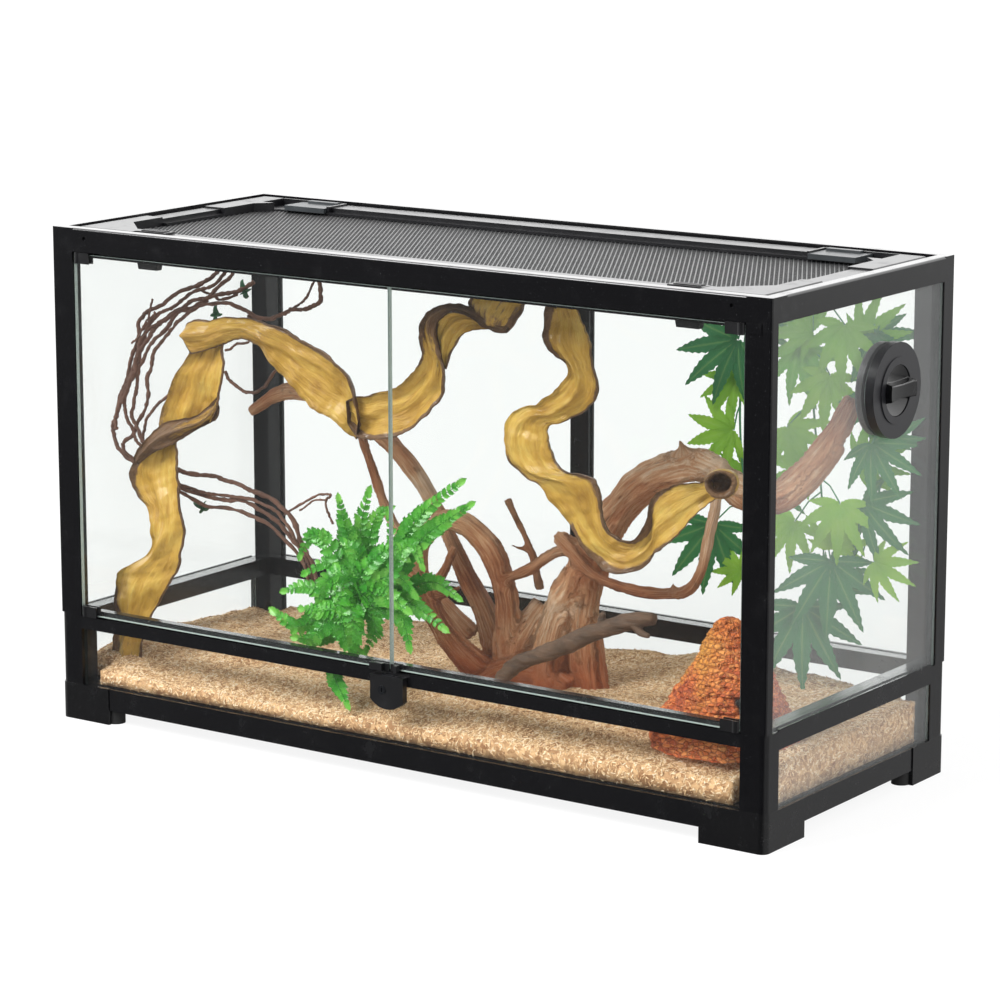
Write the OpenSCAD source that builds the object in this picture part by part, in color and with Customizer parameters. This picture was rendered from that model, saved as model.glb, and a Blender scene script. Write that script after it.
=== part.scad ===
/* [Overall] */
// Width of the tank across its posts
width = 760; // [680:5:1000]
// Depth of the tank from post face to post face
depth = 305; // [290:5:400]
// Height from the table to the top rim
height = 460; // [430:5:600]

/* [Glass] */
// Thickness of every glass pane
glass_t = 4; // [3:0.5:4.5]
// How deep a pane sits in a frame groove
groove = 4; // [3:0.5:5]
// Gap between a pane and its groove
pane_gap = 0.2; // [0.1:0.1:0.5]
// How far the front and back panes lie behind the frame's face
pane_set_front = 3.5; // [3:0.5:5]
// How far the side panes lie behind the frame's face
pane_set_side = 2; // [1.5:0.5:4]

/* [Feet and base] */
// Height of a foot plate
foot_h = 34; // [30:1:40]
// Length of a foot's legs
foot_leg = 56; // [48:1:80]
// Length of the legs of the front right foot, with its blank name plate
plate_leg = 63; // [50:1:80]
// How far a foot stands proud of the rails
foot_proud = 1; // [0.5:0.1:2.5]
// Thickness of a foot's skirt
foot_wall = 3; // [2:0.5:4]
// Radius of the lower upright corners
corner_r = 6; // [3:0.5:9]
// Height of a rubber pad
pad_h = 13; // [10:0.5:16]
// Length of a rubber pad's legs
pad_leg = 60; // [45:1:80]
// Width of a rubber pad's legs
pad_w = 17; // [12:1:18]
// Height of a base rail
base_h = 20.2; // [18:0.1:28]
// Width of the base and mid rails, from the outer face inwards
rail_deep = 20; // [18:1:24]
// Thickness of the base panel
floor_t = 5; // [4:0.5:7]

/* [Posts] */
// Width of a post on the front and back
post_face = 24.5; // [20:0.5:32]
// Depth of a lower front post on the side
low_front_deep = 21; // [18:0.5:26]
// Depth of a lower rear post on the side
low_rear_deep = 25.5; // [22:0.5:30]
// Depth of an upper front post on the side
up_front_deep = 10; // [9:0.5:14]
// Depth of an upper rear post on the side
up_rear_deep = 18; // [14:0.5:20]
// Radius of the upper upright corners
up_corner_r = 2; // [1:0.5:4]
// Height at which upper posts stand on lower posts
joint_z = 100.5; // [96:0.5:110]
// Width of the upright bar in the middle of the back
bar_w = 20; // [16:1:40]

/* [Mid rails] */
// Height of the underside of the side and back mid rails
mid_z = 84.7; // [76:0.1:90]
// Height of the side and back mid rails
mid_h = 17.3; // [14:0.1:24]
// Height of the top of the front mid rail's lip
lip_top = 99; // [97:0.5:100]
// Thickness of the front mid rail's lip
lip_t = 2; // [1.5:0.5:2.5]
// Depth of the channel behind the lip
channel_deep = 1.5; // [1:0.5:3]
// Height of the door stop above the lip
stop_h = 5.5; // [4:0.5:8]
// Thickness of the door stop
stop_t = 8; // [5:0.5:11]

/* [Top frame] */
// Height of the top rails
top_h = 21.5; // [18:0.5:30]
// Width of the rim round the lid
rim_w = 11; // [10:0.5:14]
// Width of the ledge that carries the lid, beyond the rim
ledge_w = 10; // [8:0.5:14]
// Depth of the lid's seat below the rim
seat_deep = 12; // [11.5:0.5:14]
// Radius of the rim's outer top edge
rim_r = 2; // [1:0.5:3]
// Width of a corner cap along the sides at the front
cap_front = 23; // [21:0.5:30]
// Width of a corner cap along the sides at the back
cap_rear = 16; // [14:0.5:17.5]
// Drop of the front top rail's door stop
flange_drop = 5.5; // [4:0.5:8]
// Thickness of the front top rail's door stop
flange_t = 4; // [3:0.5:5]

/* [Doors] */
// Gap between the two doors
door_gap = 1.5; // [1:0.1:3]
// Gap between a door and its post
door_side_gap = 1; // [0.8:0.1:2]
// Gap between a door's glass and the face of the frame
door_set = 0.5; // [0.3:0.1:0.8]
// Height of a door's glass above the front lip
door_lift = 2; // [1.5:0.1:3]
// Gap between a door's glass and the top rail
door_top_gap = 2.2; // [1.5:0.1:4]
// Distance of a door's pivot from its glass edge
pivot_in = 4; // [3.5:0.1:4.2]
// Radius of a pivot pin
pin_r = 1.5; // [1.2:0.1:1.7]
// Running clearance of pins and of the lock's cylinder
run_gap = 0.05; // [0.02:0.01:0.08]
// Length of the upper pivot pin
pin_len = 8; // [5:0.5:10]
// Length of a pivot clamp along the door
clamp_len = 14; // [10:1:30]
// Height of a pivot clamp
clamp_h = 10; // [8:1:20]
// Thickness of a clamp's cheeks on the glass
cheek = 1.5; // [1:0.1:1.8]
// Running gap above and below a pivot clamp
clamp_gap = 0.4; // [0.3:0.1:0.6]

/* [Lock] */
// Width of the lock
lock_w = 35.5; // [32:0.5:50]
// Height of the lock
lock_h = 30; // [28:0.5:34]
// Height of the lock's rounded lower edge
lock_sag = 8; // [5:0.5:10]
// How far the lock stands in front of the frame
lock_out = 6; // [5.6:0.1:8]
// Gap between the lock's top and the lip's top
lock_drop = 3; // [2.5:0.5:4]
// Radius of the key cylinder
key_r = 4; // [3:0.1:5]
// Distance of the key cylinder to the left of the middle
key_left = 5; // [2:0.5:7]
// Depth of the key cylinder's axis below the lock's top
key_down = 13; // [12:0.5:16]
// Width of the bolt
bolt_w = 12; // [8:0.5:13]
// Thickness of the bolt
bolt_t = 2.4; // [2:0.1:2.6]
// Travel of the bolt
bolt_travel = 7; // [6:0.5:7.2]
// Clearance of the bolt and of the other slides
slide_gap = 0.3; // [0.2:0.05:0.4]
// Width of the left door's strike
strike_left_w = 19; // [15:0.5:30]
// Width of the right door's strike
strike_right_w = 9; // [8:0.5:30]
// Height of a strike
strike_h = 6.5; // [6:0.1:10]

/* [Lid] */
// Gap between the lid and the rim
lid_gap = 1; // [0.5:0.1:2]
// Width of the sloped outer edge of the lid
lid_slope = 7; // [4:0.5:8]
// Height of the lid's rails
lid_h = 9.5; // [8:0.5:10]
// Height of the lid's edge below its slope
lid_edge = 2; // [1.5:0.5:3]
// Width of the top of the front lid rail
lid_front_w = 16; // [14:0.5:24]
// Width of the top of the side lid rails
lid_side_w = 19; // [14:0.5:26]
// Width of the top of the rear lid rail
lid_rear_w = 24; // [16:0.5:30]
// Width of the step inside the lid rails
lid_step_w = 5; // [3:0.5:8]
// Height of the step inside the lid rails
lid_step_h = 5.5; // [4:0.5:6]
// Height of the mesh above the lid's underside
mesh_up = 2; // [1.5:0.1:2.5]
// Thickness of the mesh sheet
mesh_t = 0.8; // [0.6:0.1:1.2]
// How much the lid's corner pieces rise above its rails
corner_up = 1.5; // [1:0.1:2]
// Leg of a front lid corner along the front
lid_fleg = 67.5; // [50:0.5:90]
// Leg of a front lid corner along the side
lid_sleg = 98.5; // [70:0.5:105]
// Leg of a rear lid corner along the side
lid_bleg = 98; // [70:0.5:105]
// Travel of the lid when it is lifted off
lid_lift = 60; // [40:5:100]

/* [Latches] */
// Width of a latch's thumb plate
latch_w = 34; // [28:1:36]
// Width of a latch's hook
hook_w = 27.5; // [20:0.5:30]
// Width of a latch's stem
stem_w = 16; // [10:0.5:18]
// Thickness of a latch's stem
stem_t = 3; // [2:0.5:3.5]
// Travel of a latch
latch_travel = 5; // [4:0.5:5]
// Height of a hook
hook_h = 13.5; // [8:0.5:16]
// Reach of a hook in front of its stem
hook_reach = 3.8; // [3:0.1:4]

/* [Cable gates] */
// Width of a cable gate
gate_w = 47; // [40:1:48]
// Distance of a gate's outer end from the side face
gate_in = 69; // [66:0.5:76]
// Depth of a cable gate from its front face to its back
gate_deep = 31; // [24:1:31]
// Travel of a cable gate
gate_travel = 26; // [15:1:27]
// Width of the cable hole under a gate
gate_hole_w = 24; // [15:1:25]

/* [Port] */
// Distance of the port's middle below the top rim
port_down = 102; // [80:1:160]
// Distance of the port's middle behind the middle of the side
port_y = 44; // [0:1:60]
// Radius of the port's outer flange
port_r = 41; // [38:0.5:46]
// Radius of the hole in the glass
port_hole_r = 35; // [33.5:0.5:36]
// How far the port's flange stands off the glass
port_out = 8; // [7:0.5:10]
// Radius of the plug
plug_r = 28.5; // [26:0.5:29]
// Radius of the port's clear bore behind the plug
port_bore_r = 24; // [20:0.5:25]
// Thickness of the plug
plug_t = 6; // [5:0.5:7]
// Radius of the turning knob
knob_r = 22; // [18:0.5:23]
// Height of the knob's grip above the plug
grip_out = 6; // [5:0.5:9]
// Thickness of the nut inside the glass
nut_t = 6; // [5:0.5:8]

/* [Contents] */
// Depth of the litter above the base rails
litter_h = 36.3; // [20:0.1:40]
// Gap between the contents and what they stand against
rest_gap = 0.3; // [0.2:0.1:0.6]
// Half width of the climbing vine's ribbon
vine_w = 12; // [8:0.5:13]
// Half thickness of the climbing vine's ribbon
vine_t = 4; // [3:0.5:5]
// Radius of the driftwood's trunk
trunk_r = 22; // [14:1:24]
// Radius of a twig bundle
twig_r = 5; // [3:0.5:6]
// Length of a fern frond's widest leaflets
frond_w = 15; // [8:1:18]
// Length of a leaf of the hanging plant
leaf_len = 46; // [30:1:55]
// Width of a leaf of the hanging plant
leaf_w = 14; // [8:1:18]

/* [Hidden] */
// what the overall sizes give
half_w = width / 2;
half_d = depth / 2;
top_z = height - top_h;
seat_z = height - seat_deep;
ledge_in = rim_w + ledge_w;
base_z = foot_h - base_h - 0.3;
base_top = base_z + base_h;
mid_top = mid_z + mid_h;
pad_inset = foot_wall;
// front mid rail
front_bottom = mid_z + 2.8;
channel_z = lip_top - channel_deep;
stop_y = door_set + glass_t + 2.7;
pane_top_front = front_bottom + groove - 0.5;
// doors
door_z = lip_top + door_lift;
door_top = top_z - door_top_gap;
door_x = half_w - post_face - door_side_gap;
pivot_x = door_x - pivot_in;
pivot_y = half_d - door_set - glass_t / 2;
knuckle_r = glass_t / 2 + cheek + 0.7;
bore_gap = 0.5;
low_pin_end = pane_top_front + pane_gap + 0.8;
clamp_low_z = lip_top + clamp_gap;
clamp_top_z = top_z - clamp_gap;
// lock
lock_top = lip_top - lock_drop;
lock_bottom = lock_top - lock_h;
lock_y = half_d + lock_out;
bolt_y = half_d + 0.7 + slide_gap;
bolt_top = lock_top + 0.8;
bolt_bottom = lock_top - key_down + key_r + 1;
strike_out = bolt_y + bolt_t + slide_gap + 0.8 - half_d;
lock_arc_r = (pow(lock_w / 2, 2) + pow(lock_sag, 2)) / (2 * lock_sag);
// lid
lid_out = rim_w + lid_gap;
lid_top = seat_z + lid_h;
corner_top = lid_top + corner_up;
mesh_z = seat_z + mesh_up;
lid_front_in = lid_out + lid_slope + lid_front_w;
lid_side_in = lid_out + lid_slope + lid_side_w;
lid_rear_in = lid_out + lid_slope + lid_rear_w;
corner_end = half_w - lid_out - lid_fleg;
latch_x = corner_end - 0.25 - hook_w / 2;
lid_rleg = gate_in + gate_w + 3 - lid_out;
stem_y = half_d - ledge_in - latch_travel - slide_gap;
hook_z = top_z - slide_gap;
gate_x1 = half_w - gate_in;
gate_x0 = gate_x1 - gate_w;
gate_y1 = half_d - ledge_in;
gate_y0 = gate_y1 - gate_deep;
gate_floor = seat_z + 4.6;
// port
glass_out = half_w - pane_set_side;
glass_in = glass_out - glass_t;
port_z = height - port_down;
port_face = glass_out + port_out;
plug_back = port_face - plug_t + 1;
// contents
ground_z = base_top + litter_h;
room_w = half_w - post_face;
room_d = half_d - low_front_deep;
room_h = top_z - ground_z;
// the middle of the whole model's box, so that the origin stands under it
origin_x = (port_face + 1 + grip_out - half_w - foot_proud) / 2;
origin_y = (half_d + foot_proud - lock_y - 0.5) / 2;
$fn = 64;

// ---- shared helpers ----

// puts the model's box over the origin
module place() {
    translate([-origin_x, -origin_y, 0]) children();
}

// a box between two corners, grown by g on every side
module slab(x0, x1, y0, y1, z0, z1, g = 0) {
    translate([x0 - g, y0 - g, z0 - g])
        cube([x1 - x0 + 2 * g, y1 - y0 + 2 * g, z1 - z0 + 2 * g]);
}

// local x runs inwards from a side face and local y inwards from the front or back face
module at_corner(sx, sy) {
    translate([sx * half_w, sy * half_d, 0])
        mirror([sx > 0 ? 1 : 0, 0, 0])
            mirror([0, sy > 0 ? 1 : 0, 0]) children();
}

module all_corners() {
    for (sx = [-1, 1]) {
        for (sy = [-1, 1]) {
            at_corner(sx, sy) children();
        }
    }
}

// plan of a square corner with its outer edge rounded
module block_plan(lx, ly, r) {
    difference() {
        square([lx, ly]);
        difference() {
            square([r, r]);
            translate([r, r]) circle(r);
        }
    }
}

// plan of an angle with two legs and its outer edge rounded
module angle_plan(lx, ly, t, r) {
    difference() {
        block_plan(lx, ly, r);
        translate([t, t]) square([lx, ly]);
    }
}

// ---- fixed panes: the frame's grooves are cut with the same boxes, grown by pane_gap ----

module pane_front_low(g = 0) {
    slab(-half_w + post_face - groove, half_w - post_face + groove,
        -half_d + pane_set_front, -half_d + pane_set_front + glass_t,
        base_top - groove, pane_top_front, g);
}

module pane_back_low(g = 0) {
    slab(-half_w + post_face - groove, half_w - post_face + groove,
        half_d - pane_set_front - glass_t, half_d - pane_set_front,
        base_top - groove, mid_z + groove, g);
}

module pane_side_low(s, g = 0) {
    mirror([s < 0 ? 1 : 0, 0, 0])
        slab(glass_in, glass_out, -half_d + low_front_deep - groove,
            half_d - low_rear_deep + groove, base_top - groove, mid_z + groove, g);
}

module pane_side_up(s, g = 0) {
    mirror([s < 0 ? 1 : 0, 0, 0])
        slab(glass_in, glass_out, -half_d + up_front_deep - groove,
            half_d - up_rear_deep + groove, mid_top - groove, top_z + groove, g);
}

module pane_back_up(s, g = 0) {
    mirror([s < 0 ? 1 : 0, 0, 0])
        slab(bar_w / 2 - groove, half_w - post_face + groove,
            half_d - pane_set_front - glass_t, half_d - pane_set_front,
            mid_top - groove, top_z + groove, g);
}

module base_floor(g = 0) {
    slab(-half_w + rail_deep - groove, half_w - rail_deep + groove,
        -half_d + rail_deep - groove, half_d - rail_deep + groove,
        base_z + base_h / 3, base_z + base_h / 3 + floor_t, g);
}

module grooves() {
    pane_front_low(pane_gap);
    pane_back_low(pane_gap);
    base_floor(pane_gap);
    for (s = [-1, 1]) {
        pane_side_low(s, pane_gap);
        pane_side_up(s, pane_gap);
        pane_back_up(s, pane_gap);
    }
}

// ---- base ----

module foot(sx, sy, leg) {
    place() difference() {
        at_corner(sx, sy) {
            translate([0, 0, base_z])
                linear_extrude(foot_h - base_z)
                    angle_plan(leg, leg, rail_deep, corner_r);
            translate([-foot_proud, -foot_proud, 0])
                linear_extrude(foot_h)
                    angle_plan(leg + foot_proud, leg + foot_proud, foot_wall + foot_proud,
                        corner_r + foot_proud);
        }
        grooves();
    }
}

module foot_front_left() { color("#1b1b1d") foot(-1, -1, foot_leg); }
module foot_front_right() { color("#222226") foot(1, -1, plate_leg); }
module foot_rear_left() { color("#1b1b1d") foot(-1, 1, foot_leg); }
module foot_rear_right() { color("#1b1b1d") foot(1, 1, foot_leg); }

module pad_leg_shape() {
    translate([pad_inset, pad_inset, 0])
        square([pad_leg - pad_w / 2, pad_w]);
    translate([pad_inset + pad_leg - pad_w / 2, pad_inset + pad_w / 2]) circle(pad_w / 2);
}

module foot_pads() {
    color("#2a2a2c") place() all_corners()
        linear_extrude(base_z) {
            difference() {
                union() {
                    pad_leg_shape();
                    mirror([1, -1]) pad_leg_shape();
                }
                difference() {
                    square([corner_r + 1, corner_r + 1]);
                    translate([corner_r + 1, corner_r + 1]) circle(corner_r - 1);
                }
            }
        }
}

// how far the feet's solid corners reach along each rail
function leg_at(sx, sy) = sx > 0 && sy < 0 ? plate_leg : foot_leg;

module base_rail_x(sy) {
    place() difference() {
        slab(-half_w + leg_at(-1, sy), half_w - leg_at(1, sy),
            sy < 0 ? -half_d : half_d - rail_deep, sy < 0 ? -half_d + rail_deep : half_d,
            base_z, base_top);
        grooves();
    }
}

module base_rail_y(sx) {
    place() difference() {
        slab(sx < 0 ? -half_w : half_w - rail_deep, sx < 0 ? -half_w + rail_deep : half_w,
            -half_d + leg_at(sx, -1), half_d - leg_at(sx, 1), base_z, base_top);
        grooves();
    }
}

module base_rail_front() { color("#202022") base_rail_x(-1); }
module base_rail_back() { color("#202022") base_rail_x(1); }
module base_rail_left() { color("#202022") base_rail_y(-1); }
module base_rail_right() { color("#202022") base_rail_y(1); }
module base_panel() { color("#3a3a3c") place() base_floor(); }

// ---- posts ----

module lower_posts() {
    color("#1d1d1f") place() difference() {
        all_lower_posts();
        grooves();
    }
}

module all_lower_posts() {
    for (sx = [-1, 1]) {
        at_corner(sx, -1) translate([0, 0, foot_h]) linear_extrude(joint_z - foot_h)
            block_plan(post_face, low_front_deep, corner_r);
        at_corner(sx, 1) translate([0, 0, foot_h]) linear_extrude(joint_z - foot_h)
            block_plan(post_face, low_rear_deep, corner_r);
    }
}

module upper_front_post(sx) {
    cap_in = 9.5;
    cap_w = 14.5;
    cap_t = 0.8;
    place() difference() {
        union() {
            at_corner(sx, -1) translate([0, 0, joint_z]) linear_extrude(top_z - joint_z)
                block_plan(post_face, up_front_deep, up_corner_r);
            at_corner(sx, -1)
                slab(cap_in, cap_in + cap_w, -cap_t, 1, top_z - clamp_h + 1.5, top_z);
        }
        grooves();
    }
}

module upper_rear_post(sx) {
    seal_x = pane_set_side + glass_t + pane_gap;
    place() difference() {
        at_corner(sx, 1) translate([0, 0, joint_z]) linear_extrude(top_z - joint_z)
            union() {
                block_plan(post_face, up_rear_deep, up_corner_r);
                translate([seal_x, 0]) square([post_face - seal_x, low_rear_deep]);
            }
        grooves();
    }
}

module upper_post_front_left() { color("#18181a") upper_front_post(-1); }
module upper_post_front_right() { color("#18181a") upper_front_post(1); }
module upper_post_rear_left() { color("#18181a") upper_rear_post(-1); }
module upper_post_rear_right() { color("#18181a") upper_rear_post(1); }

module centre_bar() {
    color("#18181a") place() difference() {
        slab(-bar_w / 2, bar_w / 2, half_d - pane_set_front - glass_t - 3, half_d - 1,
            mid_top, top_z);
        grooves();
    }
}

// ---- mid rails ----

module mid_rail_front() {
    color("#242427") place() difference() {
        translate([-half_w + post_face, -half_d, 0])
            rotate([90, 0, 90])
                linear_extrude(width - 2 * post_face)
                    polygon([
                        [0, front_bottom], [0, lip_top], [lip_t, lip_top],
                        [lip_t, channel_z], [stop_y, channel_z],
                        [stop_y, lip_top + stop_h], [stop_y + stop_t, lip_top + stop_h],
                        [stop_y + stop_t, lip_top], [low_front_deep, lip_top],
                        [low_front_deep, front_bottom]
                    ]);
        grooves();
        for (s = [-1, 1]) {
            translate([s * pivot_x, -pivot_y, low_pin_end - bore_gap])
                cylinder(r = pin_r + run_gap, h = lip_top);
        }
    }
}

module mid_rail_back() {
    color("#242427") place() difference() {
        slab(-half_w + post_face, half_w - post_face, half_d - rail_deep, half_d,
            mid_z, mid_top);
        grooves();
    }
}

module mid_rail_side(sx) {
    place() difference() {
        slab(sx < 0 ? -half_w : half_w - rail_deep, sx < 0 ? -half_w + rail_deep : half_w,
            -half_d + low_front_deep, half_d - low_rear_deep, mid_z, mid_top);
        grooves();
    }
}

module mid_rail_left() { color("#242427") mid_rail_side(-1); }
module mid_rail_right() { color("#242427") mid_rail_side(1); }

// ---- top frame ----

// section of a top rail: x inwards from the outer face, y up
module top_section() {
    difference() {
        union() {
            translate([0, top_z]) square([rim_w, top_h]);
            translate([0, top_z]) square([ledge_in, seat_z - top_z]);
        }
        translate([0, height - rim_r]) difference() {
            square([rim_r, rim_r]);
            translate([rim_r, 0]) circle(rim_r);
        }
    }
}

module top_rail_x(sy) {
    translate([-half_w + post_face, sy * half_d, 0])
        mirror([0, sy > 0 ? 1 : 0, 0])
            rotate([90, 0, 90]) linear_extrude(width - 2 * post_face) top_section();
}

module top_rail_front() {
    color("#19191b") place() difference() {
        union() {
            top_rail_x(-1);
            slab(-half_w + post_face, half_w - post_face, -half_d + stop_y,
                -half_d + stop_y + flange_t, top_z - flange_drop, top_z + 1);
        }
        grooves();
        for (s = [-1, 1]) {
            translate([s * pivot_x, -pivot_y, top_z - 1])
                cylinder(r = pin_r + run_gap, h = pin_len + bore_gap + 1);
            translate([s * (half_w - 38), -half_d, height - 9])
                rotate([-90, 0, 0]) translate([0, 0, -1]) cylinder(r = 1.8, h = 3);
        }
    }
}

module top_rail_back() {
    color("#19191b") place() difference() {
        top_rail_x(1);
        grooves();
    }
}

module top_rail_side(sx) {
    place() difference() {
        translate([sx * half_w, -half_d + cap_front, 0])
            mirror([sx > 0 ? 1 : 0, 0, 0])
                translate([0, depth - cap_front - cap_rear, 0])
                    rotate([90, 0, 0])
                        linear_extrude(depth - cap_front - cap_rear) top_section();
        top_clear_back();
        grooves();
    }
}

// the back rail's ledge, which the side rails stop short of
module top_clear_back() {
    slab(-half_w + post_face, half_w - post_face, half_d - ledge_in, half_d, top_z, height);
}

module top_rail_left() { color("#19191b") top_rail_side(-1); }
module top_rail_right() { color("#19191b") top_rail_side(1); }

module top_corner_caps() {
    color("#161618") place() difference() {
        for (sx = [-1, 1]) {
            at_corner(sx, -1) cap(cap_front);
            at_corner(sx, 1) cap(cap_rear);
        }
        grooves();
    }
}

module cap(len) {
    difference() {
        translate([0, 0, top_z]) linear_extrude(top_h) block_plan(post_face, len, up_corner_r);
        slab(rim_w, width, rim_w, depth, seat_z, height + 1);
        slab(ledge_in, width, ledge_in, depth, top_z - 1, height + 1);
    }
}

// ---- fixed glass ----

module lower_pane_front() { color("#cfe6e2", 0.4) place() pane_front_low(); }
module lower_pane_back() { color("#cfe6e2", 0.4) place() pane_back_low(); }
module lower_pane_left() { color("#cfe6e2", 0.4) place() pane_side_low(-1); }
module lower_pane_right() { color("#cfe6e2", 0.4) place() pane_side_low(1); }
module upper_pane_left() { color("#cfe6e2", 0.4) place() pane_side_up(-1); }

module upper_pane_right() {
    color("#cfe6e2", 0.4) place() difference() {
        pane_side_up(1);
        at_port() cylinder(r = port_hole_r, h = width, center = true);
    }
}

module upper_panes_back() {
    color("#cfe6e2", 0.4) place() {
        pane_back_up(-1);
        pane_back_up(1);
    }
}

// ---- doors: drawn on the right and mirrored for the left ----

module door_glass() {
    slab(door_gap / 2, door_x, -half_d + door_set, -half_d + door_set + glass_t,
        door_z, door_top);
}

module door_clamp(z) {
    difference() {
        union() {
            translate([pivot_x, -pivot_y, z]) cylinder(r = knuckle_r, h = clamp_h);
            slab(pivot_x - clamp_len, pivot_x, -pivot_y - glass_t / 2 - cheek,
                -pivot_y + glass_t / 2 + cheek, z, z + clamp_h);
        }
        door_glass();
    }
}

module door_clamps() {
    door_clamp(clamp_low_z);
    door_clamp(clamp_top_z - clamp_h);
    translate([pivot_x, -pivot_y, door_top])
        cylinder(r = pin_r, h = top_z + pin_len - door_top);
    translate([pivot_x, -pivot_y, low_pin_end])
        cylinder(r = pin_r, h = door_z - low_pin_end);
}

// the strike on a door's lower edge: the bolt rises in front of its rear part
module door_strike(strike_w) {
    low = lip_top + clamp_gap;
    difference() {
        slab(door_gap / 2, door_gap / 2 + strike_w, -half_d - strike_out,
            -half_d + door_set + glass_t + cheek, low, low + strike_h);
        door_glass();
        slab(-bolt_w, bolt_w / 2 + slide_gap, -lock_y - 1, -bolt_y + slide_gap,
            low - 1, low + strike_h + 1);
    }
}

module door_glass_left() { color("#d8ecea", 0.35) place() mirror([1, 0, 0]) door_glass(); }
module door_glass_right() { color("#d8ecea", 0.35) place() door_glass(); }
module hinge_clamps_left() { color("#101012") place() mirror([1, 0, 0]) door_clamps(); }
module hinge_clamps_right() { color("#101012") place() door_clamps(); }
module strike_left() { color("#101012") place() mirror([1, 0, 0]) door_strike(strike_left_w); }
module strike_right() { color("#101012") place() door_strike(strike_right_w); }

// ---- lock ----

// a plate with straight sides and an arched lower edge
module lock_plan() {
    half_arc = asin(lock_w / 2 / lock_arc_r);
    steps = 16;
    polygon(concat(
        [[lock_w / 2, lock_top], [-lock_w / 2, lock_top]],
        [for (i = [0:steps])
            let (a = half_arc * (2 * i / steps - 1))
                [lock_arc_r * sin(a), lock_bottom + lock_arc_r * (1 - cos(a))]]
    ));
}

module at_key() {
    translate([-key_left, 0, lock_top - key_down]) rotate([90, 0, 0]) children();
}

module lock_housing() {
    color("#0f0f11") place() difference() {
        union() {
            translate([0, -half_d, 0]) rotate([90, 0, 0])
                linear_extrude(lock_out) lock_plan();
            slab(-lock_w / 2 + 3, lock_w / 2 - 3, -half_d,
                -half_d + pane_set_front - rest_gap, lock_bottom + lock_sag,
                front_bottom - rest_gap);
        }
        slab(-bolt_w / 2 - slide_gap, bolt_w / 2 + slide_gap,
            -bolt_y - bolt_t - slide_gap, -bolt_y + slide_gap,
            bolt_bottom - slide_gap, lock_top + 1);
        at_key() translate([0, 0, half_d]) cylinder(r = key_r + run_gap, h = lock_out + 1);
    }
}

module lock_cylinder() {
    color("#303033") place() difference() {
        at_key() translate([0, 0, half_d]) cylinder(r = key_r, h = lock_out + 0.5);
        at_key() translate([-0.6, -key_r / 2, lock_y - 2]) cube([1.2, key_r, 4]);
    }
}

module lock_bolt() {
    color("#5a5a5e") place()
        slab(-bolt_w / 2, bolt_w / 2, -bolt_y - bolt_t, -bolt_y, bolt_bottom, bolt_top);
}

// ---- lid ----

// section of a lid rail: x inwards from the outer face, y up
module lid_section(top_w) {
    flat = lid_out + lid_slope;
    polygon([
        [lid_out, seat_z], [lid_out, seat_z + lid_edge], [flat, lid_top],
        [flat + top_w, lid_top], [flat + top_w, seat_z + lid_step_h],
        [flat + top_w + lid_step_w, seat_z + lid_step_h],
        [flat + top_w + lid_step_w, seat_z]
    ]);
}

module mesh_sheet(g = 0) {
    slab(-half_w + lid_side_in, half_w - lid_side_in, -half_d + lid_front_in,
        half_d - lid_rear_in, mesh_z, mesh_z + mesh_t, g);
}

module lid_rail_x(sy, top_w, leg) {
    len = width - 2 * (lid_out + leg);
    translate([-len / 2, sy * half_d, 0])
        mirror([0, sy > 0 ? 1 : 0, 0])
            rotate([90, 0, 90]) linear_extrude(len) lid_section(top_w);
}

module lid_rails() {
    side_len = depth - 2 * lid_out - lid_sleg - lid_bleg;
    color("#1a1a1c") place() difference() {
        union() {
            lid_rail_x(-1, lid_front_w, lid_fleg);
            lid_rail_x(1, lid_rear_w, lid_rleg);
            for (sx = [-1, 1]) {
                translate([sx * half_w, -half_d + lid_out + lid_sleg + side_len, 0])
                    mirror([sx > 0 ? 1 : 0, 0, 0])
                        rotate([90, 0, 0]) linear_extrude(side_len) lid_section(lid_side_w);
            }
        }
        mesh_sheet(0.1);
        for (s = [-1, 1]) {
            latch_slot(s);
        }
    }
}

// a lid corner: a plan cut by the sloped edges and dropped onto the seat
module lid_corner(leg_x, leg_y, in_x, in_y, fill) {
    difference() {
        translate([0, 0, seat_z]) linear_extrude(lid_h + corner_up)
            polygon([
                [lid_out, lid_out], [lid_out + leg_x, lid_out], [lid_out + leg_x, in_y],
                [in_x + fill, in_y], [in_x, in_y + fill],
                [in_x, lid_out + leg_y], [lid_out, lid_out + leg_y]
            ]);
        slope_cut(width);
        mirror([1, -1, 0]) slope_cut(depth);
    }
}

module slope_cut(len) {
    rise = lid_h + corner_up - lid_edge;
    translate([0, 0, 0]) rotate([90, 0, 90]) linear_extrude(len)
        polygon([
            [lid_out - 1, seat_z + lid_edge], [lid_out, seat_z + lid_edge],
            [lid_out + lid_slope, seat_z + lid_edge + rise],
            [lid_out + lid_slope, seat_z + lid_edge + rise + 1],
            [lid_out - 1, seat_z + lid_edge + rise + 1]
        ]);
}

module lid_corners() {
    color("#151517") place() difference() {
        union() {
            for (sx = [-1, 1]) {
                at_corner(sx, -1)
                    lid_corner(lid_fleg, lid_sleg, lid_side_in, lid_front_in, 34);
                at_corner(sx, 1)
                    lid_corner(lid_rleg, lid_bleg, lid_side_in + lid_step_w,
                        lid_rear_in + lid_step_w, 18);
            }
        }
        mesh_sheet(0.1);
        for (s = [-1, 1]) {
            latch_slot(s);
            gate_pocket(s);
        }
    }
}

module lid_mesh() { color("#6a6a6c") place() mesh_sheet(); }

// ---- latches on the lid's front rail ----

module latch_slot(s) {
    slab(s * latch_x - stem_w / 2 - slide_gap, s * latch_x + stem_w / 2 + slide_gap,
        -stem_y - latch_travel - slide_gap, -stem_y + stem_t + slide_gap,
        top_z, height + 1);
}

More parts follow.
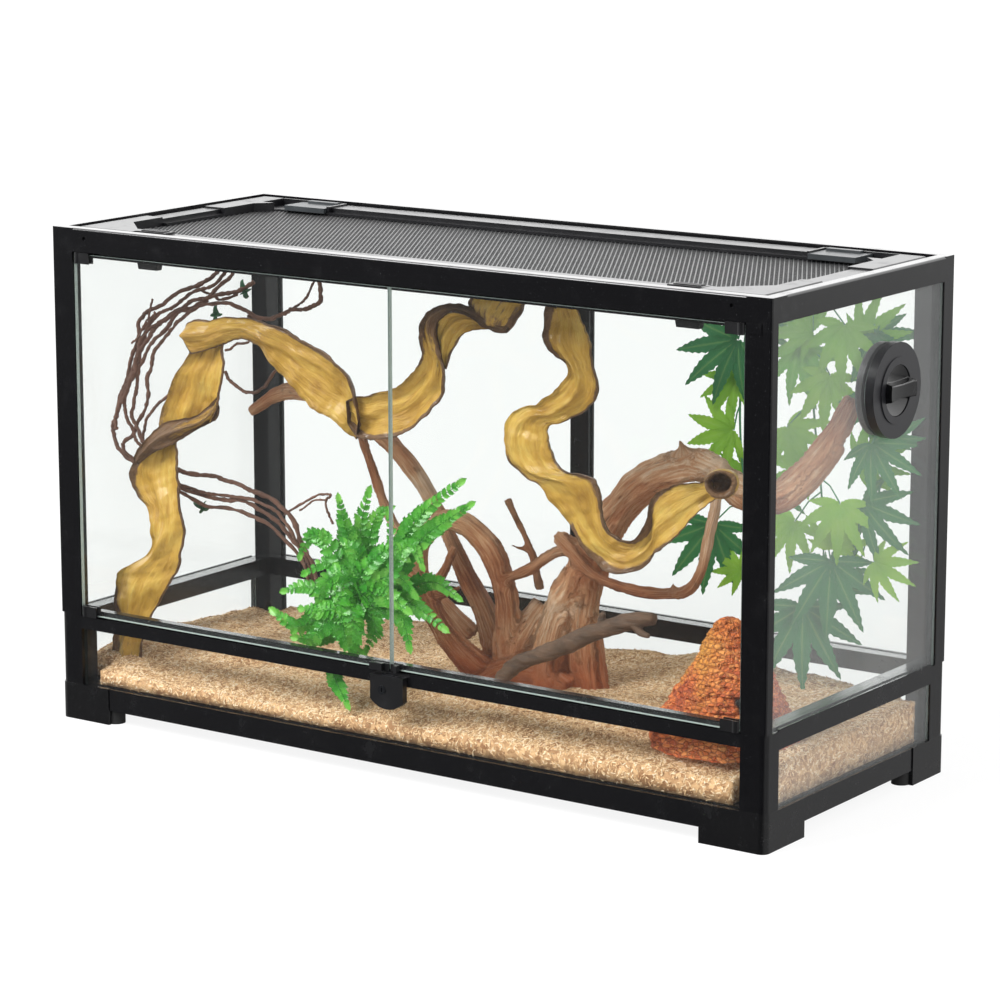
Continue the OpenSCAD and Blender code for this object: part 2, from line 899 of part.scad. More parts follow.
module latch() {
    plate_deep = 14;
    ridge = 1.5;
    plate_z = lid_top + 0.2;
    plate_x = corner_end - slide_gap - latch_w;
    translate([0, -stem_y, 0]) {
        slab(plate_x, plate_x + latch_w, -3, plate_deep - 3, plate_z, plate_z + 1.5);
        for (i = [0:2]) {
            slab(plate_x + 4, plate_x + latch_w - 4, i * 3.5, i * 3.5 + ridge,
                plate_z + 1, plate_z + 2.3);
        }
    }
    translate([latch_x, -stem_y, 0]) {
        slab(-stem_w / 2, stem_w / 2, 0, stem_t, hook_z - 1, plate_z + 0.5);
        // the hook narrows towards its lower edge
        rotate([90, 0, 0]) translate([0, 0, -stem_t])
            linear_extrude(stem_t + hook_reach)
                polygon([
                    [-hook_w / 2, hook_z], [hook_w / 2, hook_z],
                    [hook_w / 2 - 3, hook_z - hook_h], [-hook_w / 2 + 3, hook_z - hook_h]
                ]);
    }
}

module latch_left() { color("#2c2c30") place() mirror([1, 0, 0]) latch(); }
module latch_right() { color("#2c2c30") place() latch(); }

// ---- cable gates in the lid's rear corners ----

module gate_pocket(s) {
    mirror([s < 0 ? 1 : 0, 0, 0]) {
        slab(gate_x0 - slide_gap, gate_x1 + gate_travel + slide_gap,
            gate_y0 - slide_gap, gate_y1 + slide_gap, gate_floor, height + 1);
        slab(gate_x0 + 6, gate_x0 + 6 + gate_hole_w, gate_y0 + 6, gate_y1 - 4,
            seat_z - 1, gate_floor + 1);
    }
}

module cable_gate(s) {
    lift = 0.2;
    mirror([s < 0 ? 1 : 0, 0, 0]) {
        slab(gate_x0, gate_x1, gate_y0, gate_y1, gate_floor + lift, lid_top);
        slab(gate_x0 + 4, gate_x1 - 9, gate_y1 - 6, gate_y1, lid_top - 1, height - 0.3);
    }
}

module cable_gate_left() { color("#b9bdbd") place() cable_gate(-1); }
module cable_gate_right() { color("#b9bdbd") place() cable_gate(1); }

// ---- port in the right pane ----

module at_port() {
    translate([0, port_y, port_z]) rotate([0, 90, 0]) children();
}

module port_ring() {
    color("#1a1a1c") place() difference() {
        union() {
            at_port() translate([0, 0, glass_out]) cylinder(r = port_r, h = port_out);
            at_port() translate([0, 0, glass_in]) cylinder(r = port_hole_r - 0.3, h = glass_t);
        }
        at_port() cylinder(r = port_bore_r, h = width);
        at_port() translate([0, 0, plug_back]) cylinder(r = plug_r + 0.1, h = width);
    }
}

module port_nut() {
    color("#2a2a2d") place() difference() {
        at_port() translate([0, 0, glass_in - nut_t]) cylinder(r = port_r - 1, h = nut_t);
        at_port() cylinder(r = port_bore_r, h = width);
    }
}

module port_plug() {
    color("#1f1f22") place() difference() {
        at_port() translate([0, 0, plug_back]) cylinder(r = plug_r, h = plug_t);
        at_port() translate([0, 0, plug_back + 2])
            cylinder(r = knob_r + 0.1, h = plug_t);
    }
}

// the knob: a disc scooped out on both sides of a grip bar
module port_knob() {
    grip_w = 15;
    base_t = 2;
    color("#131315") place() {
        at_port() translate([0, 0, plug_back + 2]) cylinder(r = knob_r, h = base_t);
        intersection() {
            at_port() translate([0, 0, plug_back + 2])
                cylinder(r = knob_r, h = plug_t - 2 + grip_out);
            slab(0, width, port_y - knob_r, port_y + knob_r,
                port_z - grip_w / 2, port_z + grip_w / 2);
        }
    }
}

// ---- contents: places are percent of the room's half width, half depth and height ----

function in_room(p) = [p[0] * room_w / 100, p[1] * room_d / 100, ground_z + p[2] * room_h / 100];

// a smooth line through the points; every entry of a point is smoothed alike
function blend4(a, b, c, d, t) =
    0.5 * ((2 * b) + (c - a) * t + (2 * a - 5 * b + 4 * c - d) * t * t
        + (3 * b - a - 3 * c + d) * t * t * t);
function at_end(p, i) = p[max(0, min(len(p) - 1, i))];
function smooth(p, n) = [
    for (i = [0:len(p) - 2])
        for (k = [0:n - (i == len(p) - 2 ? 0 : 1)])
            blend4(at_end(p, i - 1), p[i], p[i + 1], at_end(p, i + 2), k / n)
];
function unit(v) = v / norm(v);
function heading(q, i) = unit(at_end(q, i + 1) - at_end(q, i - 1));
function side_way(t) = unit(cross(t, [0, 1, 0]));

// points are [x, y, z, half width, half thickness, twist]; x, y, z are percent of the room
module sweep(points, sides, steps) {
    raw = smooth(points, steps);
    mid = [for (p = raw) in_room(p)];
    rings = [
        for (i = [0:len(raw) - 1])
            let (t = heading(mid, i), u = side_way(t), v = cross(t, u))
                for (k = [0:sides - 1])
                    let (a = 360 * k / sides, w = raw[i][5],
                        x = raw[i][3] * cos(a), y = raw[i][4] * sin(a))
                        mid[i] + u * (x * cos(w) - y * sin(w)) + v * (x * sin(w) + y * cos(w))
    ];
    last = (len(raw) - 1) * sides;
    walls = [
        for (i = [0:len(raw) - 2])
            for (k = [0:sides - 1])
                let (a = i * sides + k, b = i * sides + (k + 1) % sides)
                    each [[a, b + sides, b], [a, a + sides, b + sides]]
    ];
    ends = [
        [for (k = [0:sides - 1]) k],
        [for (k = [sides - 1:-1:0]) last + k]
    ];
    polyhedron(rings, concat(walls, ends), convexity = 10);
}

// round branch: points are [x, y, z, radius]
module branch(points, steps = 4, sides = 10) {
    sweep([for (p = points) [p[0], p[1], p[2], p[3], p[3], 0]], sides, steps);
}

module substrate() {
    g = pane_gap + rest_gap;
    color("#c9a878") place() difference() {
        slab(-glass_in + g, glass_in - g, -half_d + pane_set_front + glass_t + g,
            half_d - pane_set_front - glass_t - g, base_top + rest_gap / 3, ground_z);
        for (sx = [-1, 1]) {
            at_corner(sx, -1)
                slab(0, post_face + g, 0, low_front_deep + g, 0, height);
            at_corner(sx, 1)
                slab(0, post_face + g, 0, low_rear_deep + g, 0, height);
            for (sy = [-1, 1]) {
                foot_end = leg_at(sx, sy) + rest_gap;
                at_corner(sx, sy) linear_extrude(foot_h + rest_gap)
                    angle_plan(foot_end, foot_end, rail_deep + rest_gap, 1);
            }
        }
    }
}

// buttressed trunk on the right, a long limb to the left, loops and a thin branch
module driftwood() {
    r = trunk_r;
    color("#a5714f") place() intersection() {
        slab(-room_w, room_w, -room_d, room_d, ground_z + rest_gap, top_z - 2);
        union() {
            branch([[15, 8, -4, r * 1.2], [19, 8, 9, r], [26, 4, 22, r * 0.9],
                [33, 0, 35, r * 0.8], [40, 0, 46, r * 0.7], [48, 0, 53, r * 0.7],
                [59, 0, 57, r * 0.65], [69, 4, 54, r * 0.5]]);
            branch([[66, 4, 56, r * 0.4], [74, 8, 53, r * 0.45], [82, 12, 53, r * 0.5],
                [89, 22, 59, r * 0.5], [92, 32, 68, r * 0.45], [92, 38, 76, r * 0.3]]);
            branch([[27, 10, -4, r], [26, 8, 10, r * 0.8], [29, 3, 26, r * 0.5]]);
            branch([[-1, 0, 2, r * 0.5], [6, 0, 3, r * 0.7], [14, 4, 4, r], [22, 8, 3, r]]);
            branch([[7, -10, -4, r * 0.9], [10, -8, 10, r * 0.7], [17, 2, 24, r * 0.5]]);
            branch([[4, 4, -3, r * 0.8], [-3, 0, 12, r * 0.7], [-12, -4, 25, r * 0.6],
                [-21, -4, 38, r * 0.6], [-29, -4, 46, r * 0.6], [-37, -4, 53, r * 0.5],
                [-48, 0, 59, r * 0.55], [-59, 0, 62, r * 0.55], [-68, 0, 61, r * 0.5],
                [-78, 0, 56, r * 0.3]]);
            branch([[7, -8, 4, r * 0.6], [8, -15, 22, r * 0.5], [5, -19, 31, r * 0.5],
                [-1, -23, 37, r * 0.5], [-9, -27, 36, r * 0.45], [-13, -31, 30, r * 0.4],
                [-13, -31, 24, r * 0.25]]);
            branch([[4, -14, 1, r * 0.6], [-7, -30, 10, r * 0.5], [-11, -38, 20, r * 0.5],
                [-16, -40, 24, r * 0.5], [-25, -40, 23, r * 0.35]]);
            branch([[29, 2, 33, r * 0.25], [24, -12, 36, r * 0.25], [29, -19, 34, r * 0.25],
                [36, -19, 29, r * 0.22], [48, -19, 27, r * 0.25], [60, -19, 29, r * 0.25],
                [66, -19, 33, r * 0.25], [68, -16, 42, r * 0.25], [67, -4, 52, r * 0.25]]);
            branch([[28, 0, 31, r * 0.25], [17, -14, 29, r * 0.22], [11, -18, 26, r * 0.15]],
                3);
        }
    }
}

// a broad ribbon that twists as it climbs: [x, y, z, half width, half thickness, twist]
module vine() {
    w = vine_w;
    t = vine_t;
    color("#c69a35") place() intersection() {
        slab(-room_w, room_w, -half_d, half_d, ground_z + rest_gap, top_z - rest_gap);
        union() {
            sweep([[-93, -76, -2, w * 0.7, t, 20], [-90, -76, 6, w, t, 30],
                [-85, -75, 15, w * 1.1, t, 0], [-81, -74, 27, w, t, 20],
                [-84, -75, 38, w * 1.1, t, 40], [-86, -75, 47, w, t, 120],
                [-77, -75, 57, w * 1.1, t, 180], [-72, -75, 69, w, t, 190],
                [-69, -73, 79, w * 0.8, t, 240], [-58, -70, 83, w, t, 250],
                [-46, -69, 77, w * 1.1, t, 200], [-35, -69, 72, w * 1.3, t, 190],
                [-27, -69, 65, w * 1.1, t, 230], [-19, -69, 62, w, t, 290],
                [-10, -68, 65, w, t, 350], [-3, -66, 75, w, t, 370],
                [-3, -64, 85, w * 0.8, t, 400], [5, -62, 91, w, t, 450],
                [15, -60, 92, w, t, 520], [22, -60, 97, w, t, 540],
                [29, -60, 98, w, t, 540], [34, -60, 93, w, t, 540],
                [38, -60, 84, w, t, 560], [41, -60, 75, w * 1.1, t, 600],
                [34, -62, 69, w, t, 660], [25, -64, 67, w, t, 680],
                [20, -64, 59, w * 1.1, t, 720], [25, -64, 52, w, t, 740],
                [33, -63, 47, w, t, 780], [40, -62, 43, w, t, 820],
                [44, -61, 38, w, t, 880], [51, -60, 35, w * 0.9, t, 930],
                [57, -60, 40, w, t, 970], [59, -58, 48, w, t, 1020],
                [67, -54, 54, w * 0.9, t, 1040], [77, -44, 58, w * 0.6, t, 1080]], 8, 3);
        }
    }
}

// bundles of thin twigs, each as one bent rod
module twigs() {
    r = twig_r;
    color("#5b4034") place() intersection() {
        slab(-glass_in + 1, glass_in - 1, -half_d, half_d, ground_z + rest_gap, top_z - 1);
        union() {
            branch([[-72, -28, 94, r * 0.6], [-80, -34, 89, r], [-89, -42, 82, r * 1.2],
                [-95, -46, 72, r * 1.2], [-98, -48, 61, r * 1.2], [-98, -48, 53, r * 1.1],
                [-96, -46, 46, r], [-88, -40, 41, r], [-77, -36, 39, r],
                [-65, -31, 35, r], [-57, -24, 27, r * 0.9], [-51, -23, 16, r * 0.8],
                [-49, -23, -1, r * 0.6]], 3, 8);
            branch([[-89, -42, 82, r * 0.7], [-78, -35, 86, r * 0.5],
                [-67, -31, 83, r * 0.4], [-57, -31, 85, r * 0.4], [-47, -31, 92, r * 0.3]],
                3, 6);
            branch([[-60, -28, 31, r * 0.5], [-52, -28, 35, r * 0.3],
                [-45, -28, 39, r * 0.3]], 3, 6);
        }
    }
}

// a clump of arching fronds that narrow to their tips
module fern() {
    fronds = 11;
    reach = 28;
    w = frond_w;
    color("#3f9b32") place() intersection() {
        slab(-room_w, room_w, -half_d + low_front_deep, 0, ground_z + rest_gap, top_z);
        union() {
            for (i = [0:fronds - 1]) {
                a = 10 + 160 * i / (fronds - 1);
                dx = reach * cos(a);
                dz = (26 + 6 * (i % 2)) * sin(a);
                dy = 6 * (i % 3);
                sweep([[-20, -84, -1, 2, 1.2, 0],
                    [-20 + dx * 0.3, -88 + dy, 4 + dz * 0.5, w * 0.7, 1.2, 0],
                    [-20 + dx * 0.7, -91 + dy, 4 + dz * 0.95, w, 1.2, 0],
                    [-20 + dx, -90 + dy, 3 + dz * 0.9, w * 0.3, 1, 0]], 6, 3);
            }
        }
    }
}

// hanging stems with broad divided leaves in the rear right corner
module leaf_plant() {
    stems = 3;
    per_stem = 6;
    color("#3c8a3a") place() intersection() {
        slab(0, glass_in - 1.5, -room_d, half_d - low_rear_deep - rest_gap,
            ground_z + 2, top_z - rest_gap);
        union() {
            for (s = [0:stems - 1]) {
                x = 56 + 17 * s;
                y = 68 + 4 * s;
                low = 12 + 8 * ((s + 1) % 3);
                branch([[x - 4, y, 101, 1.6], [x, y, 70, 1.6], [x + 3, y, 40, 1.6],
                    [x, y, low, 1.2]], 3, 6);
                for (i = [0:per_stem - 1]) {
                    z = 92 - i * (92 - low) / per_stem;
                    leaf(x, y + (i % 2), z, i * 137 + s * 60);
                }
            }
            branch([[49, 68, 97, 2], [75, 72, 98, 2], [94, 76, 97, 2]], 3, 6);
        }
    }
    color("#3c8a3a") place() plant_cup();
}

// suction cup on the back pane with the peg that the stems hang from
module plant_cup() {
    at = in_room([75, 72, 98]);
    back = half_d - pane_set_front - glass_t - rest_gap;
    translate([at[0], back, at[2] - 3.5]) rotate([90, 0, 0]) {
        cylinder(r1 = 10, r2 = 4, h = 7);
        cylinder(r = 3, h = back - at[1] - 1);
    }
}

// one leaf: five pointed fingers that fan out from the stalk
module leaf(x, y, z, turn) {
    for (k = [-2:2]) {
        a = turn + k * 38;
        l = leaf_len * (1 - 0.12 * abs(k));
        translate(in_room([x, y, z])) rotate([0, a, 0]) rotate([15 * k, 0, 0])
            translate([0, -0.7, 0]) rotate([90, 0, 0]) linear_extrude(1.4, center = true)
                polygon([[0, 0], [l * 0.45, leaf_w / 2], [l, 0], [l * 0.45, -leaf_w / 2]]);
    }
}

// a rough, stepped rock with a peak
module rock_hide() {
    levels = 6;
    foot_r = 58;
    top_r = 12;
    step = 4;
    rise = 0.28 * room_h / levels;
    fall = (foot_r - top_r) / levels;
    color("#b5562f") place()
        translate([room_w - foot_r - 4, -room_d + foot_r + 4, ground_z + rest_gap])
            rotate_extrude()
                polygon(concat(
                    [[0, 0]],
                    [for (i = [0:levels - 1]) each [
                        [foot_r - i * fall, i * rise],
                        [foot_r - (i + 1) * fall + step, (i + 1) * rise],
                        [foot_r - (i + 1) * fall, (i + 1) * rise]
                    ]],
                    [[0, levels * rise]]
                ));
}

// a short dark stick that lies against the driftwood
module stick() {
    color("#5a463a") place() intersection() {
        slab(-room_w, room_w, -room_d, room_d, ground_z + rest_gap, height);
        branch([[12, -58, -1, 4], [18, -58, 3, 5], [30, -52, 4, 6], [40, -48, 9, 7],
            [52, -44, 17, 6]], 4, 8);
    }
}

foot_front_left();
foot_front_right();
foot_rear_left();
foot_rear_right();
foot_pads();
base_rail_front();
base_rail_back();
base_rail_left();
base_rail_right();
base_panel();
lower_posts();
upper_post_front_left();
upper_post_front_right();
upper_post_rear_left();
upper_post_rear_right();
mid_rail_front();
mid_rail_back();
mid_rail_left();
mid_rail_right();
centre_bar();
top_rail_front();
top_rail_back();
top_rail_left();
top_rail_right();
top_corner_caps();
lower_pane_front();
lower_pane_back();
lower_pane_left();
lower_pane_right();
upper_pane_left();
upper_pane_right();
upper_panes_back();
door_glass_left();
door_glass_right();
hinge_clamps_left();
hinge_clamps_right();
strike_left();
strike_right();
lock_housing();
lock_cylinder();
lock_bolt();
lid_rails();
lid_corners();
lid_mesh();
latch_left();
latch_right();
cable_gate_left();
cable_gate_right();
port_ring();
port_nut();
port_plug();
port_knob();
substrate();
driftwood();
vine();
twigs();
fern();
leaf_plant();
rock_hide();
stick();
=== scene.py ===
import math
import random
import bpy
from mathutils import Matrix, Vector, kdtree, noise


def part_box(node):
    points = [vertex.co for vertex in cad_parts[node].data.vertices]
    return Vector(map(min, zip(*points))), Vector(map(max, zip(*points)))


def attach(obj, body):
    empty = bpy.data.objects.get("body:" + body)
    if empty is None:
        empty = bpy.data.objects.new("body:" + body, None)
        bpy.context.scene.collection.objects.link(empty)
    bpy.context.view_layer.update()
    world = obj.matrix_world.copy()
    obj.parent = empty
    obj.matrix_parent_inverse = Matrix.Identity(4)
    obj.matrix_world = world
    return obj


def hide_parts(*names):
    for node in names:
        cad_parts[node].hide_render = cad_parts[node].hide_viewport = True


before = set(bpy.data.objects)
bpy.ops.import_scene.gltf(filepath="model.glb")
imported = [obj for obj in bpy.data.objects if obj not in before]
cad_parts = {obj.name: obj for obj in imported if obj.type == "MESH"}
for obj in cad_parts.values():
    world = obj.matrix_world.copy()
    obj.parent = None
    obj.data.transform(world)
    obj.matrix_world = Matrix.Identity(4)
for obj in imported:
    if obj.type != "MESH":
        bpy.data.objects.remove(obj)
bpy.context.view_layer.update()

# ---- studio ---------------------------------------------------------------
# A long lens from the front right, slightly above the tank. White paper behind
# and beside it, and a dark room in front, which the black frame mirrors.

focal_length, film_width, farthest = 132.5, 36, 60
camera_place, looks_down, looks_left = (1.8505, -2.63765, 0.9018), 11.839, 34.969
lens = bpy.data.cameras.new("camera")
lens.lens = focal_length
lens.sensor_width = film_width
lens.clip_end = farthest
camera = bpy.data.objects.new("camera", lens)
camera.location = camera_place
camera.rotation_euler = (math.radians(90 - looks_down), 0, math.radians(looks_left))
bpy.context.scene.collection.objects.link(camera)
bpy.context.scene.camera = camera
bpy.context.scene.view_settings.view_transform = "Standard"


class Socket:
    """One output in a finish's node tree. Sums written on it add Math nodes."""

    def __init__(self, tree, out=None):
        self.tree = tree
        self.out = out

    def node(self, kind, settings=None, pick=0, **inputs):
        """Adds a node: its settings first, then its inputs by name or _number."""
        made = self.tree.nodes.new("ShaderNode" + kind)
        for key, value in (settings or {}).items():
            if key == "stops":
                ramp = made.color_ramp.elements
                ramp.remove(ramp[1])
                ramp[0].position, ramp[0].color = value[0][0], (*value[0][1], 1)
                for place, colour in value[1:]:
                    ramp.new(place).color = (*colour, 1)
            else:
                setattr(made, key, value)
        for key, value in inputs.items():
            port = made.inputs[int(key[1:]) if key[0] == "_" else key.replace("_", " ")]
            if isinstance(value, Socket):
                self.tree.links.new(value.out, port)
            elif port.type == "RGBA":
                port.default_value = (*value, 1)
            else:
                port.default_value = value
        return Socket(self.tree, made.outputs[pick] if made.outputs else None)

    def math(self, how, *parts):
        return self.node("Math", {"operation": how},
                         **{"_%d" % i: p for i, p in enumerate(parts)})

    def __add__(self, other):
        return self.math("ADD", self, other)

    def __sub__(self, other):
        return self.math("SUBTRACT", self, other)

    def __rsub__(self, other):
        return self.math("SUBTRACT", other, self)

    def __mul__(self, other):
        return self.math("MULTIPLY", self, other)

    def __pow__(self, other):
        return self.math("POWER", self, other)

    def __gt__(self, other):
        return self.math("GREATER_THAN", self, other)

    __radd__ = __add__
    __rmul__ = __mul__

    def place(self):
        """The place on the object, in metres."""
        return self.node("TexCoord", pick=3)

    def noise(self, scale, detail=3.0, at=None, rough=0.5):
        return self.node("TexNoise", Vector=at or self.place(), Scale=scale, Detail=detail,
                         Roughness=rough)

    def marked(self, name):
        """A number that the piece's points carry."""
        return self.node("Attribute", {"attribute_name": name}, 2)

    def ramp(self, *stops):
        """The colour at this height between stops of (height, paint chip)."""
        return self.node("ValToRGB", {"stops": [(at, rgb(chip)) for at, chip in stops]},
                         Fac=self)

    def steps(self, low, high):
        """Runs from 0 at low to 1 at high."""
        return self.node("MapRange", {"interpolation_type": "SMOOTHSTEP"}, Value=self,
                         From_Min=low, From_Max=high)

    def between(self, a, b):
        """Colour b where this is 1 and colour a where it is 0."""
        return self.node("Mix", {"data_type": "RGBA"}, 2, Factor=self, _6=a, _7=b)


def rgb(code):
    """Linear colour of a paint chip's six hex digits."""
    parts = [int(code[i:i + 2], 16) / 255 for i in (0, 2, 4)]
    return tuple(p / 12.92 if p <= 0.04045 else ((p + 0.055) / 1.055) ** 2.4 for p in parts)


def finish(name):
    """A new finish and a hand on its node tree."""
    made = bpy.data.materials.new(name)
    made.use_nodes = True
    made.node_tree.nodes.clear()
    return made, Socket(made.node_tree)


def surface(s, shader):
    s.node("OutputMaterial", Surface=shader)


def lamp(name, place, width, power, mirrored=True):
    """A square lamp that looks at the middle of the tank."""
    aim = (0, 0, 0.2)
    data = bpy.data.lights.new(name, "AREA")
    data.shape = "RECTANGLE"
    data.size = data.size_y = width
    data.energy = power
    made = bpy.data.objects.new(name, data)
    made.location = place
    made.rotation_euler = (Vector(aim) - Vector(place)).to_track_quat("-Z", "Y").to_euler()
    made.visible_glossy = mirrored
    bpy.context.scene.collection.objects.link(made)


lamp("key", (-1.7, -2.5, 2.9), width=2.2, power=240)
lamp("fill", (2.6, -1.6, 1.5), width=1.2, power=40, mirrored=False)

world = bpy.data.worlds.new("studio")
world.use_nodes = True
world.node_tree.nodes.clear()
w = Socket(world.node_tree)
ray = w.node("LightPath")
ray_is = {o.name: Socket(world.node_tree, o) for o in ray.out.node.outputs}
way = w.node("SeparateXYZ", Vector=w.node("TexCoord"))
way_y = Socket(world.node_tree, way.out.node.outputs[1])
way_z = Socket(world.node_tree, way.out.node.outputs[2])
# what shiny surfaces mirror: bright behind, right and above, dark in front
below, above, backdrop, soft_light = 0.42, 1.9, 1.14, 0.68
dark_front = (way_y * -1.0).steps(0.35, 0.85)
mirrored = below + way_z.steps(-0.22, 0.16) * above
mirrored = mirrored * (1 - dark_front * (0.97 - way.steps(0.2, -0.75) * 0.12))
seen, glossy = ray_is["Is Camera Ray"], ray_is["Is Glossy Ray"]
strength = seen * backdrop + (1 - seen) * (glossy * mirrored + (1 - glossy) * soft_light)
w.node("OutputWorld", Surface=w.node("Background", Color=(1, 1, 1), Strength=strength))
bpy.context.scene.world = world

floor_width, fade_from, fade_to = 14, 0.62, 1.05
bpy.ops.mesh.primitive_plane_add(size=floor_width)
floor = bpy.context.object
floor.name = "floor"
paper, s = finish("paper")
path = s.node("LightPath")
glossy = Socket(s.tree, path.out.node.outputs["Is Glossy Ray"])
white = s.noise(3.0).between((0.86, 0.86, 0.86), (0.89, 0.89, 0.89))
sheet = s.node("MixShader", _0=path * 0.84, _1=s.node("BsdfDiffuse", Color=white),
               _2=s.node("Emission", Color=(1, 1, 1), Strength=1.06))
# the sheet fades into the white backdrop away from the part, and is not mirrored
off = s.node("VectorMath", {"operation": "LENGTH"}, 1, _0=s.place())
gone = s.math("MAXIMUM", glossy, off.steps(fade_from, fade_to))
surface(s, s.node("MixShader", _0=gone, _1=sheet,
                  _2=s.node("BsdfTransparent", Color=(1, 1, 1))))
floor.data.materials.append(paper)

# ---- feet and lower frame ---------------------------------------------------
# Moulded black corner feet over glossy black rails. The rails are pressed on
# from outside, so that every joint shows as a fine seam.


def wear(node, made):
    """Gives a carried-over part its finish."""
    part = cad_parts[node]
    part.data.materials.clear()
    part.data.materials.append(made)


def black_finish(name, tone, worn, rough, dust=0.0):
    """Smooth black plastic: faint clouding, fine orange peel, rubbed patches, dust."""
    made, s = finish(name)
    cloud = s.noise(7.0, 4.0)
    rub = s.noise(55.0, 6.0, rough=0.65).steps(0.5, 0.78)
    speck = s.noise(900.0, 2.0).steps(0.70, 0.78) * dust
    colour = (cloud * 0.55 + rub * 0.45).between(rgb(tone), rgb(worn))
    colour = speck.between(colour, rgb("8a8d90"))
    peel = s.noise(420.0, 2.0) * 0.7 + s.noise(1900.0, 2.0) * 0.3
    bump = s.node("Bump", Strength=0.12, Distance=0.0003, Height=peel)
    surface(s, s.node("BsdfPrincipled", Base_Color=colour,
                      Roughness=rough + rub * 0.12 + speck * 0.4, Normal=bump))
    return made


frame_gloss = black_finish("frame_gloss", "08080a", "101012", 0.16, 0.2)
frame_satin = black_finish("frame_satin", "09090b", "121214", 0.22, 0.12)
foot_black = black_finish("foot_black", "0a0a0b", "121214", 0.24, 0.2)

corners = ("front_left", "front_right", "rear_left", "rear_right")
sides = ("front", "back", "left", "right")
for corner in corners:
    wear("foot_" + corner, foot_black)
for side in sides:
    wear("base_rail_" + side, frame_satin)
wear("lower_posts", frame_gloss)

# Rubber pads fill the feet from below, dull and slightly grainy.
pad_rubber, s = finish("pad_rubber")
grain = s.noise(1400.0, 3.0)
surface(s, s.node("BsdfPrincipled", Base_Color=grain.between(rgb("141414"), rgb("262626")),
                  Roughness=0.75 + grain * 0.15,
                  Normal=s.node("Bump", Strength=0.3, Distance=0.0003, Height=grain)))
wear("foot_pads", pad_rubber)

# The base panel is a dark grey moulded sheet with a fine stipple underneath.
panel_grey, s = finish("panel_grey")
stipple = s.node("TexVoronoi", Vector=s.place(), Scale=500.0)
surface(s, s.node("BsdfPrincipled",
                  Base_Color=s.noise(9.0).between(rgb("232427"), rgb("303236")),
                  Roughness=0.5 + stipple * 0.3,
                  Normal=s.node("Bump", Strength=0.25, Distance=0.0004, Height=stipple)))
wear("base_panel", panel_grey)

# ---- posts, mid rails and top frame -----------------------------------------
# Extruded black plastic: the upper posts stand on the lower ones, and the rails that are
# pressed in between them carry the glass. Moulded caps close the top corners.

for corner in corners:
    wear("upper_post_" + corner, frame_gloss)
for side in sides:
    wear("mid_rail_" + side, frame_satin)
    wear("top_rail_" + side, frame_gloss)
wear("centre_bar", frame_satin)
wear("top_corner_caps", frame_gloss)

# ---- glass --------------------------------------------------------------------
# Clear float glass, 4 mm thick, fixed in the rails or swinging in the doors' clamps,
# with ground edges that show a dull pale green, lightened in part as a painted highlight.


def glass_finish(name, across, haze):
    """Clear glass whose faces look along one axis; its ground edges are dull."""
    made, s = finish(name)
    facing = s.node("LayerWeight", pick=1, Blend=0.5)
    mirror = 0.035 + 0.9 * facing ** 5.0
    smear = s.noise(14.0, 5.0, rough=0.6)
    clear = s.node("BsdfTransparent", Color=(0.985, 0.993, 0.988))
    gloss = s.node("BsdfGlossy", Color=(1, 1, 1), Roughness=0.01 + smear * 0.03)
    face = s.node("MixShader", _0=mirror, _1=clear, _2=gloss)
    # a white diffuse film, far thicker on the side panes: partly smear, partly a painted
    # reflection of the bright room beside the tank
    film = s.node("BsdfDiffuse", Color=(0.95, 0.97, 0.97))
    face = s.node("MixShader", _0=haze * (0.6 + smear * 0.8), _1=face, _2=film)
    turned = s.node("SeparateXYZ", Vector=s.node("TexCoord", pick=1), pick=across)
    edge = 1 - s.math("ABSOLUTE", turned) > 0.5
    # the ground edges run from dark green to near white: partly their own colour, partly a
    # painted highlight
    ground = s.node("BsdfPrincipled",
                    Base_Color=s.noise(900.0).between(rgb("5d6f69"), rgb("c9d6d1")),
                    Roughness=0.3)
    surface(s, s.node("MixShader", _0=edge, _1=face, _2=ground))
    return made


front_glass = glass_finish("front_glass", 1, 0.004)
side_glass = glass_finish("side_glass", 0, 0.06)
for node in ("lower_pane_front", "lower_pane_back", "upper_panes_back",
             "door_glass_left", "door_glass_right"):
    wear(node, front_glass)
for node in ("lower_pane_left", "lower_pane_right", "upper_pane_left", "upper_pane_right"):
    wear(node, side_glass)

# ---- door fittings and lock -----------------------------------------------------
# Black pinned clamps hold the doors at their corners. The key lock in the middle
# pushes a bolt up behind the two strikes on the doors' lower edges.

fitting_black = black_finish("fitting_black", "0c0c0d", "17171a", 0.34, 0.1)
for node in ("hinge_clamps_left", "hinge_clamps_right", "strike_left", "strike_right",
             "lock_housing"):
    wear(node, fitting_black)

lock_steel, s = finish("lock_steel")
turned = s.noise(1200.0, 2.0)
surface(s, s.node("BsdfPrincipled", Base_Color=turned.between(rgb("1c1d1f"), rgb("3a3c40")),
                  Metallic=0.85, Roughness=0.3 + turned * 0.2))
wear("lock_cylinder", lock_steel)
wear("lock_bolt", lock_steel)

# ---- lid ------------------------------------------------------------------------
# A black plastic frame with raised corner pieces, latches and cable gates, clipped round
# a black expanded-metal mesh whose strands run at 30 degrees to the short sides.

lid_black = black_finish("lid_black", "101012", "1d1d20", 0.3, 0.3)
wear("lid_rails", lid_black)
wear("lid_corners", lid_black)
wear("latch_left", fitting_black)
wear("latch_right", fitting_black)


